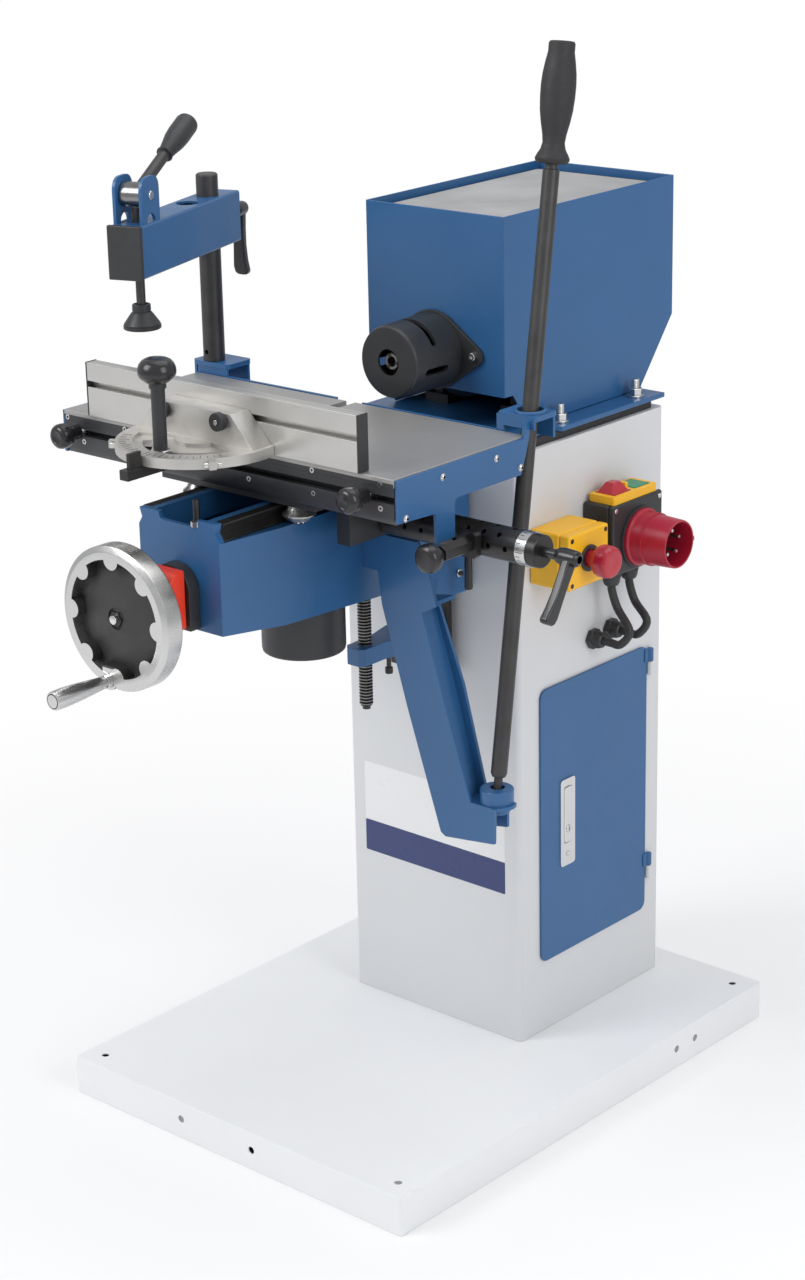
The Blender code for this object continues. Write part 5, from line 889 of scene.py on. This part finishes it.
BALL = Vector((0.2531, -0.1562, 0.4762))
AXIS = (Vector((0.236, -0.070, 0.911)) - BALL).normalized()
TOP = 0.8524
FOOT = TOP - 0.1392
lever_bar = turned("lever_bar", BALL + AXIS * 0.0060, AXIS,
    [(0.0, 0.0050), (0.0176, 0.0050), (0.0178, 0.0075), (0.0186, 0.0080), (0.0222, 0.0095),
    (0.3500, 0.0095), (FOOT - 0.0066, 0.0095), (FOOT - 0.0060, 0.0088), (FOOT - 0.0058, 0.0075),
    (TOP - 0.0365, 0.0075)], 48)
dress(lever_bar, dark_steel, "lever", "black_steel", "lever_rod")
length = TOP - FOOT - 0.006
handle = turned("lever_handle", BALL + AXIS * (FOOT + 0.006), AXIS,
    [(0.0, 0.0150), (0.0010, 0.0175), (0.0040, 0.0193), (0.0060, 0.0194), (0.0100, 0.0175),
    (0.0160, 0.0140), (0.0230, 0.0124), (0.0320, 0.0135), (0.0450, 0.0163), (0.0580, 0.0184),
    (0.0720, 0.0194), (0.0860, 0.0196), (0.0980, 0.0188), (0.1100, 0.0170), (length - 0.0150, 0.0154),
    (length - 0.0120, 0.0148), (length - 0.0030, 0.0148), (length - 0.0008, 0.0140), (length, 0.0120)],
    64)
dress(handle, rubber, "lever", "rubber", "lever_grip")
ball_profile = [(0.0105 - 0.0105 * math.cos(math.radians(a)), 0.0105 * math.sin(math.radians(a)))
    for a in range(4, 177, 12)]
dress(turned("lever_ball", BALL - Vector((0, 0, 0.0105)), (0, 0, 1), ball_profile, 40), chrome, "lever",
    "zinc")
shell_profile = [(0.0128 * math.sin(math.radians(a)), 0.0128 * math.cos(math.radians(a)))
    for a in range(-3, -87, -12)]
shell_profile += [(0.0112 * math.sin(math.radians(a)), 0.0112 * math.cos(math.radians(a)))
    for a in range(-87, -2, 12)]
seat_shell = turned("ball_shell", BALL, (0, 0, 1), shell_profile, 40, closed=True)
dress(seat_shell, bright_zinc, "seat", "zinc", "ball_seat")


# Cross carriage and index tube

TUBE_Y, TUBE_Z = -0.185, 0.796
dress(eased("cross_carriage", "carriage_plate", 0.0008), dark_paint, "carriage", "black_steel",
    "cross_carriage")
for name, body, x, y in (("roller_left_front", "roller_lf", -0.0785, -0.287),
        ("roller_left_back", "roller_lb", -0.0785, -0.150),
        ("roller_right_front", "roller_rf", 0.0785, -0.287),
        ("roller_right_back", "roller_rb", 0.0785, -0.150)):
    track = turned(name + "_tyre", (x, y, 0.8093), (0, 0, 1),
        mm((0, 5.2), (0, 12), (0.4, 12.5), (2.5, 14.5), (6, 19.2), (6.6, 19.5), (7.8, 19.5),
        (8.4, 19.2), (12.5, 14.5), (17.6, 12.5), (18, 12), (18, 5.2)), 56, closed=True)
    dress(track, bright_steel, body, "zinc", name)
    dress(hex_nut(name + "_nut", (x, y, 0.8060), (0, 0, 1), 0.0130, 0.0028), bright_zinc, "carriage",
        "zinc")

tube = turned("index_bar", (0.1213, TUBE_Y, TUBE_Z), (1, 0, 0),
    mm((0, 18.6), (0.5, 19), (198.5, 19), (198.5, 19.7), (212, 19.7), (212, 18.8), (222.7, 18.6),
    (223.7, 17.6)), 64)
for pitch, count, turn_degrees in ((0.024, 7, 180), (0.024, 7, 90), (0.020, 9, 0), (0.026, 7, 270),
        (0.022, 8, 135)):
    across = Vector((0, math.cos(math.radians(turn_degrees)), math.sin(math.radians(turn_degrees))))
    for number in range(count):
        spot = Vector((0.162 + pitch * number, TUBE_Y, TUBE_Z)) + across * 0.0125
        if spot.x < 0.312:
            hole = turned("hole", spot, across, mm((0, 3.2), (6.2, 3.2), (8, 5)), 16)
            carve(tube, hole)
smoothed(tube)
dress(tube, black_oxide, "index", "black_steel", "index_tube")
repaint(tube, polished, lambda c, n: 0.3199 < c.x < 0.3333
    and Vector((c.y - TUBE_Y, c.z - TUBE_Z)).length > 0.0186)
ticks = None
for number in range(24):
    tick = block("index_tick", (0.3215, -0.0003, 0.0195),
        (0.3265 if number % 3 else 0.3305, 0.0003, 0.0199))
    tick.data.transform(Matrix.Translation((0, TUBE_Y, TUBE_Z))
        @ Matrix.Rotation(math.radians(15 * number), 4, 'X'))
    ticks = tick if ticks is None else joined(ticks, tick)
ticks.name = "index_ticks"
dress(ticks, black_gloss, "index", "black_plastic")


def clamp_handle(name, root, axis, reach, inside):
    """A clamping lever: the stud, the tapered hub with its button, and the bent handle."""
    root = Vector(root)
    axis = Vector(axis).normalized()
    reach = Vector(reach)
    hub = turned(name, root - axis * inside, axis, [(0.0, 0.0058), (inside + 0.0195, 0.0058),
        (inside + 0.0200, 0.0080), (inside + 0.0215, 0.0088), (inside + 0.0280, 0.0100),
        (inside + 0.0440, 0.0090), (inside + 0.0465, 0.0082), (inside + 0.0475, 0.0060),
        (inside + 0.0488, 0.0050)], 40)
    side = axis.cross(reach.normalized())
    down = reach.normalized()
    length = reach.length
    outline = [(-0.0078, 0.0), (-0.0068, length * 0.30), (-0.0068, length * 0.55),
        (-0.0085, length * 0.78), (-0.0110, length * 0.93), (-0.0108, length * 0.975),
        (-0.0085, length * 0.995), (-0.0045, length), (0.0030, length * 0.992),
        (0.0066, length * 0.955), (0.0084, length * 0.87), (0.0080, length * 0.70),
        (0.0074, length * 0.45), (0.0078, length * 0.20), (0.0085, 0.0)]
    paddle_arm = drawn("arm", outline, 'Z', -0.0053, 0.0053, 0.0022, 3)
    foot = root + axis * 0.036
    pick(paddle_arm)
    paddle_arm.matrix_world = Matrix(((side.x, down.x, axis.x, foot.x),
        (side.y, down.y, axis.y, foot.y), (side.z, down.z, axis.z, foot.z), (0, 0, 0, 1)))
    bpy.ops.object.transform_apply(location=True, rotation=True, scale=True)
    bpy.ops.object.mode_set(mode='EDIT')
    bpy.ops.mesh.select_all(action='SELECT')
    bpy.ops.mesh.normals_make_consistent(inside=False)
    bpy.ops.object.mode_set(mode='OBJECT')
    return joined(hub, paddle_arm)


dress(clamp_handle("index_clamp", (0.3453, TUBE_Y, TUBE_Z), (1, 0, 0), (0.0, -0.040, -0.066), 0.015),
      black_gloss, "index_handle", "black_plastic", "index_lever")
dress(turned("index_button", (0.3925, TUBE_Y, TUBE_Z), (1, 0, 0), mm((0, 5), (1.2, 5), (1.6, 4.2)), 28),
    bright_zinc, "index_handle", "zinc")


# Table, rails and brackets

T_SLOT_Z = 0.866
dress(eased("table_top", "table_plate", 0.0006), ground_iron, "table", "table_iron", "table_top")
dress(eased("front_rail", "front_rail_bar", 0.0004), dark_paint, "table", "black_steel", "front_rail")
dress(eased("back_rail", "back_rail_bar", 0.0004), dark_paint, "table", "black_steel", "back_rail")
dress(eased("column_bracket", "column_shelf_sheet", 0.0006), blue_powder, "table", "blue_paint",
    "column_bracket")
dress(eased("lever_bracket", "lever_collar_sheet", 0.0006), blue_powder, "table", "blue_paint",
    "lever_bracket")
dress(eased("plunger_holder", "plunger_block", 0.0005), black_oxide, "table", "black_steel",
    "plunger_holder")
pull = turned("plunger_knob", (0.2633, -0.2635, 0.797), (0, -1, 0),
    mm((0, 7.2), (5, 7.4), (6, 9), (9, 14.2), (12, 16), (16, 16.5), (20, 16.2), (23.5, 14.8),
    (25.5, 12), (26, 9)), 56)
dress(pull, black_gloss, "plunger", "black_plastic", "index_plunger")
pin = turned("plunger_pin", (0.2633, -0.2640, 0.797), (0, 1, 0), mm((0, 3), (58, 3), (59.5, 2)), 20)
dress(pin, bright_steel, "plunger", "zinc")

for name, node, body, x in (("left_stop_knob", "left_stop", "stop_left", -0.250),
        ("right_stop_knob", "right_stop", "stop_right", 0.205)):
    knob = turned(name, (x, -0.3318, T_SLOT_Z), (0, -1, 0),
        mm((0, 11.8), (1.2, 13.2), (4, 14.4), (8, 15), (12.5, 14.9), (15.8, 13.8), (17.9, 11.8),
        (18.8, 9.4), (19, 8), (18.4, 7.2), (17.6, 4)), 64)
    sleeve = turned("sleeve", (x, -0.3165, T_SLOT_Z), (0, -1, 0), mm((0, 8.5), (13, 8.5), (16, 11.5)),
        36)
    dress(joined(knob, sleeve), black_gloss, body, "black_plastic", node)
    nut = block(name + "_nut", (x - 0.009, -0.3077, 0.8582), (x + 0.009, -0.3035, 0.8738), 0.0005)
    dress(nut, bright_zinc, body, "zinc")

# The rail's dark lip below the table plate's front edge
for side, (x0, x1) in (("left", (-0.2727, -0.0248)), ("right", (-0.0102, 0.2457))):
    lip = block("rail_lip_" + side, (x0, -0.3165, 0.8795), (x1, -0.3158, 0.8848), 0.0002, 1)
    dress(lip, dark_paint, "table", "black_steel")

# Screws in the front rail, sunk flush, and pan heads on the two end sheets; the floor of each head's
# recess is painted black as painted shade
UPPER_Z, LOWER_Z = 0.8818, 0.8552
rail_places = [(x, UPPER_Z) for x in (-0.2658, -0.1681, 0.1284, 0.2268)]
rail_places += [(x, LOWER_Z) for x in (-0.2400, 0.0302, 0.1284, 0.2268)]
for number, (x, z) in enumerate(rail_places):
    face = -0.3162 if z == UPPER_Z else -0.3152
    head = turned("rail_screw_%d" % number, (x, face, z), (0, -1, 0),
        mm((0, 2.4), (0.6, 3.2), (0.9, 3.1), (0.9, 1.7), (0.1, 1.6)), 24)
    dress(head, bright_zinc, "table", "zinc")
    # The recess floor in the zinc head is painted black: painted shade in the recess
    repaint(head, black_gloss, lambda c, n: c.y > face - 0.00055
        and math.hypot(c.x - x, c.z - z) < 0.0018)
sheet_places = ((-0.2398, 0.8768), (-0.1480, 0.8770), (-0.1055, 0.8570), (-0.3015, 0.8446))
for side, face, aim in (("right", 0.250, 1), ("left", -0.277, -1)):
    for number, (y, z) in enumerate(sheet_places):
        head = turned("%s_sheet_screw_%d" % (side, number), (face, y, z), (aim, 0, 0),
            mm((0, 4.2), (0.6, 4.2), (0.7, 3.6), (1.4, 3.4), (2.3, 2.5), (2.6, 1.7), (1.4, 1.5)), 28)
        dress(head, bright_zinc, "table", "zinc")
        # The recess floor in the zinc pan head is painted black: painted shade in the recess
        repaint(head, black_gloss, lambda c, n: math.hypot(c.y - y, c.z - z) < 0.0016
            and abs(c.x - face) < 0.0021)


# Clamp

ARM_ANGLE = math.radians(17)
COLUMN_X, COLUMN_Y = -0.257, -0.076
CAM_Z = 1.141


def swung(piece):
    """Turns a piece drawn with the arm straight forward to the arm's rest angle."""
    move = (Matrix.Translation((COLUMN_X, COLUMN_Y, 0)) @ Matrix.Rotation(ARM_ANGLE, 4, 'Z')
            @ Matrix.Translation((-COLUMN_X, -COLUMN_Y, 0)))
    piece.data.transform(move)
    return piece


post = turned("clamp_post", (COLUMN_X, COLUMN_Y, 0.9053), (0, 0, 1),
    mm((0, 13), (0.6, 13.5), (229, 13.5), (230.8, 12)), 56)
carve(post, turned("cross_hole", (COLUMN_X, COLUMN_Y - 0.03, 0.917), (0, 1, 0), mm((0, 3), (60, 3)),
    16))
smoothed(post)
dress(post, dark_steel, "column", "black_steel", "clamp_column")
arm = eased("clamp_arm", "clamp_arm_tube", 0.0014)
dress(arm, blue_powder, "arm", "blue_paint", "clamp_arm")
cap = swung(block("arm_cap", (COLUMN_X - 0.0224, COLUMN_Y - 0.2096, 1.0461),
    (COLUMN_X + 0.0224, COLUMN_Y - 0.2035, 1.1099), 0.0014, 3))
dress(cap, black_mould, "arm", "black_plastic")

PIN_Y = COLUMN_Y - 0.176
hub = turned("cam_hub", (COLUMN_X - 0.0150, PIN_Y, CAM_Z), (1, 0, 0),
    mm((0, 13), (1.2, 14.5), (28.8, 14.5), (30, 13)), 56)
hub = swung(hub)
dress(hub, dark_chrome, "cam", "black_steel", "cam_lever")
rise = math.radians(25)
along_arm = Vector((0, math.cos(rise), math.sin(rise)))
cam_bar = turned("cam_bar", Vector((COLUMN_X, PIN_Y, CAM_Z)) + along_arm * 0.0130, along_arm,
    mm((0, 7.2), (68, 7.2)), 32)
dress(swung(cam_bar), dark_steel, "cam", "black_steel")
cam_grip = turned("cam_grip", Vector((COLUMN_X, PIN_Y, CAM_Z)) + along_arm * 0.0800, along_arm,
    mm((0, 8), (0.6, 10), (1.6, 10.4), (2.6, 9.6), (3, 8.6), (4, 8.8), (18, 11.2), (30, 13.4),
    (42, 14.2), (64, 14.2), (67, 13.4), (68, 12)), 48)
dress(swung(cam_grip), black_mould, "cam", "black_plastic")
pin = swung(turned("cam_pin", (COLUMN_X - 0.0215, PIN_Y, CAM_Z), (1, 0, 0),
    mm((0, 4.5), (0.8, 5.2), (42.2, 5.2), (43, 4.5)), 32))
dress(pin, bright_zinc, "arm", "zinc")
SPOT = (COLUMN_X + 0.176 * math.sin(ARM_ANGLE), COLUMN_Y - 0.176 * math.cos(ARM_ANGLE))
press = turned("press_rod", (*SPOT, 1.004), (0, 0, 1), mm((0, 5), (8, 5.5), (120.5, 5.5), (121.5, 5)),
    32)
dress(press, dark_steel, "spindle", "black_steel")
foot = turned("press_foot", (*SPOT, 0.983), (0, 0, 1), mm((0, 21.5), (0.8, 22.5), (4, 22.5),
    (4.4, 21.5), (5.4, 21.5), (6, 21.8), (12, 17.6), (19, 12.5), (20, 10.9), (21.2, 10.9), (21.6, 11.2),
    (28.5, 11), (29.2, 10.4), (29.4, 8), (26.8, 7.4)), 64)
dress(foot, black_mould, "spindle", "black_plastic", "clamp_spindle")
forward = Vector((math.sin(ARM_ANGLE), -math.cos(ARM_ANGLE), 0))
lock_root = Vector((COLUMN_X, COLUMN_Y, 1.078)) - forward * 0.0453
dress(clamp_handle("arm_clamp", lock_root, -forward, (0.0, 0.0, -0.082), 0.012), black_gloss,
    "arm_lock", "black_plastic", "arm_lock_lever")


# Mitre gauge and fence

dress(eased("gauge_bar", "gauge_slide_bar", 0.0004), black_oxide, "gauge", "black_steel", "gauge_bar")
quadrant = eased("gauge_quadrant", "quadrant_casting", 0.0010)
dress(quadrant, cast_alu, "quadrant", "aluminium", "gauge_quadrant")
PIVOT = Vector((-0.0175, -0.342, 0.0))
marks = None
for number in range(25):
    angle = math.radians(210 + 5 * number)
    reach = 0.0835 if number % 3 else 0.0795
    mark = block("mark", (reach, -0.00025, 0.9019), (0.0915, 0.00025, 0.90225))
    mark.data.transform(Matrix.Translation(PIVOT) @ Matrix.Rotation(angle, 4, 'Z'))
    marks = mark if marks is None else joined(marks, mark)
marks.name = "quadrant_marks"
dress(marks, black_gloss, "quadrant", "black_plastic")
for number, (angle, aim) in enumerate(((218.5, 1), (322.5, -1))):
    lug = block("lug", (0.0880, -0.0042, 0.8908), (0.1035, 0.0042, 0.9000), 0.0008)
    stop_screw = turned("stop", (0.0985, -0.0100 * aim, 0.8955), (0, aim, 0),
        mm((0, 1.8), (15, 1.8), (15, 3.2), (18.5, 3.2), (19, 2.7)), 20)
    nut = hex_nut("nut", (0.0985, 0.0040 * -aim, 0.8955), (0, -aim, 0), 0.0062, 0.0022)
    for made in (lug, stop_screw, nut):
        made.data.transform(Matrix.Translation(PIVOT) @ Matrix.Rotation(math.radians(angle), 4, 'Z'))
    lug.name = "quadrant_lug_%d" % number
    dress(lug, cast_alu, "quadrant", "aluminium")
    bolt = joined(stop_screw, nut)
    bolt.name = "quadrant_stop_%d" % number
    dress(bolt, bright_zinc, "quadrant", "zinc")
pin_head = turned("pivot_head", (PIVOT.x, PIVOT.y, 0.9020), (0, 0, 1), mm((0, 5), (1, 5), (1.4, 4.4)),
    28)
dress(pin_head, bright_zinc, "gauge", "zinc")
KNOB = (PIVOT.x - 0.0020, PIVOT.y - 0.060)
mushroom_knob = turned("gauge_mushroom", (*KNOB, 0.9770), (0, 0, 1),
    mm((0, 13), (1.5, 14.8), (5, 19.2), (8.5, 21.3), (12, 21.8), (16, 21.4), (20.5, 19.6), (24, 16.6),
    (26.2, 12.5), (26.4, 6)), 72)
dress(mushroom_knob, black_gloss, "gauge_lock", "black_plastic", "gauge_knob")
sleeve = turned("gauge_sleeve", (*KNOB, 0.9005), (0, 0, 1),
    mm((0, 8), (69, 8), (69.4, 9.4), (70.2, 9.8), (76.5, 9.8), (77, 9.2)), 48)
dress(sleeve, black_mould, "gauge_lock", "black_plastic")
dress(turned("gauge_washer", (*KNOB, 0.8985), (0, 0, 1), mm((0, 10.4), (0.4, 11), (1.6, 11), (2, 10.4)),
    40), bright_zinc, "gauge_lock", "zinc")

fence = eased("fence", "fence_profile", 0.0004)
carve(fence, block("groove", (-0.2300, -0.3108, 0.9538), (0.2050, -0.3100, 0.9560)))
smoothed(fence)
dress(fence, extruded, "fence_body", "aluminium", "fence")
for number, (x0, x1) in enumerate(((-0.2258, -0.2236), (0.1986, 0.2008))):
    end_cap = drawn("fence_cap_%d" % number, mm((-320.4, 890.4), (-303.6, 890.4), (-303.6, 954.8),
        (-320.4, 954.8)), 'X', x0, x1, 0.0006)
    dress(end_cap, black_mould, "fence_body", "black_plastic")
for name, node, x in (("left_fence_screw", "left_fence_knob", -0.0645),
        ("right_fence_screw", "right_fence_knob", 0.0264)):
    knurl = drawn_along(name, lobed(0.0103, 0.0003, 36, 2), (x, -0.3526, 0.929), (0, -1, 0), 0.0085,
        0.0008, 2)
    neck = turned("neck", (x, -0.3506, 0.929), (0, -1, 0), mm((0, 7.5), (2.5, 7.5)), 32)
    carve(knurl, turned("recess", (x, -0.3600, 0.929), (0, -1, 0), mm((0, 4.5), (4, 4.5)), 28))
    smoothed(knurl)
    dress(joined(knurl, neck), black_mould, "quadrant", "black_plastic", node)
    dress(socket_screw(name + "_socket", (x, -0.3595, 0.929), (0, -1, 0), 0.0032, 0.0026), bright_zinc,
        "quadrant", "zinc")


# Anything of the CAD frame that still shows gets its finish here

slot_finish = {
    "base_paint": base_enamel, "light_paint": grey_powder, "blue_paint": blue_powder,
    "black_steel": black_oxide, "table_iron": ground_iron, "zinc": bright_zinc,
    "aluminium": extruded, "polished": polished, "black_plastic": black_mould,
    "rubber": rubber, "orange_plastic": orange_mould, "yellow_plastic": yellow_mould,
    "red_plastic": red_mould, "green_plastic": green_mould,
}
slot_of = {entry["node"]: entry["material_slot"] for entry in frame["record"]["subparts"]}
for name, node in nodes.items():
    if not node.hide_render and name != "motor":
        node.data.materials.clear()
        node.data.materials.append(slot_finish[slot_of[name]])


# Floor, light and view

nothing_picked()
bpy.ops.mesh.primitive_plane_add(size=24.0, location=(0, 0, -0.0004))
floor = bpy.context.object
floor.name = "studio_floor"
floor_look, floor_tree, floor_shader = shader_of("studio_floor_white")
floor_shader.inputs["Roughness"].default_value = 0.9
floor_shader.inputs["Specular IOR Level"].default_value = 0.1
soft = noise(floor_tree, object_place(floor_tree), 0.6)
floor_tree.links.new(ramp(floor_tree, soft, [(0.3, (0.86, 0.86, 0.865)), (0.7, (0.88, 0.88, 0.885))]),
                     floor_shader.inputs["Base Color"])


def plain_rays(tree):
    """One where a ray comes from the camera or a clear surface, and nought elsewhere."""
    path = tree.nodes.new("ShaderNodeLightPath")
    first = tree.nodes.new("ShaderNodeMath")
    first.operation = 'MAXIMUM'
    tree.links.new(path.outputs["Is Camera Ray"], first.inputs[0])
    tree.links.new(path.outputs["Is Transmission Ray"], first.inputs[1])
    return first.outputs["Value"]


# The floor keeps the machine's shadow near it and runs out to plain white further off
away = floor_tree.nodes.new("ShaderNodeVectorMath")
away.operation = 'LENGTH'
floor_tree.links.new(object_place(floor_tree), away.inputs[0])
fade = floor_tree.nodes.new("ShaderNodeMapRange")
fade.interpolation_type = 'SMOOTHSTEP'
fade.inputs["From Min"].default_value = 0.55
fade.inputs["From Max"].default_value = 1.60
fade.inputs["To Min"].default_value = 0.30
fade.inputs["To Max"].default_value = 1.0
floor_tree.links.new(away.outputs["Value"], fade.inputs["Value"])
share = floor_tree.nodes.new("ShaderNodeMath")
share.operation = 'MULTIPLY'
floor_tree.links.new(fade.outputs["Result"], share.inputs[0])
floor_tree.links.new(plain_rays(floor_tree), share.inputs[1])
plain_white = floor_tree.nodes.new("ShaderNodeEmission")
plain_white.inputs["Strength"].default_value = 1.0
blend_floor = floor_tree.nodes.new("ShaderNodeMixShader")
floor_tree.links.new(share.outputs["Value"], blend_floor.inputs["Fac"])
floor_tree.links.new(floor_shader.outputs["BSDF"], blend_floor.inputs[1])
floor_tree.links.new(plain_white.outputs["Emission"], blend_floor.inputs[2])
floor_tree.links.new(blend_floor.outputs["Shader"],
    floor_tree.nodes["Material Output"].inputs["Surface"])
floor.data.materials.append(floor_look)

world = bpy.data.worlds.new("studio")
bpy.context.scene.world = world
world.use_nodes = True
sky = world.node_tree.nodes["Background"]
sky.inputs["Color"].default_value = (0.94, 0.95, 0.97, 1.0)
sky.inputs["Strength"].default_value = 0.62
seen = world.node_tree.nodes.new("ShaderNodeBackground")
seen.inputs["Color"].default_value = (1.0, 1.0, 1.0, 1.0)
seen.inputs["Strength"].default_value = 1.0
blend_sky = world.node_tree.nodes.new("ShaderNodeMixShader")
world.node_tree.links.new(plain_rays(world.node_tree), blend_sky.inputs["Fac"])
world.node_tree.links.new(sky.outputs["Background"], blend_sky.inputs[1])
world.node_tree.links.new(seen.outputs["Background"], blend_sky.inputs[2])
world.node_tree.links.new(blend_sky.outputs["Shader"],
    world.node_tree.nodes["World Output"].inputs["Surface"])


def soft_box(name, place, size, energy):
    """An area lamp that faces the middle of the machine."""
    lamp = bpy.data.lights.new(name, 'AREA')
    lamp.shape = 'RECTANGLE'
    lamp.size = size[0]
    lamp.size_y = size[1]
    lamp.energy = energy
    held = bpy.data.objects.new(name, lamp)
    bpy.context.scene.collection.objects.link(held)
    held.location = place
    held.rotation_euler = (Vector((0, 0, 0.6)) - Vector(place)).to_track_quat('-Z', 'Y').to_euler()


soft_box("key_box", (-1.6, -3.2, 3.4), (2.2, 2.2), 95.0)
soft_box("side_box", (3.6, -0.4, 2.4), (1.8, 2.4), 45.0)
soft_box("top_box", (0.2, 0.8, 4.0), (3.0, 3.0), 40.0)

bpy.context.scene.view_settings.view_transform = 'Standard'
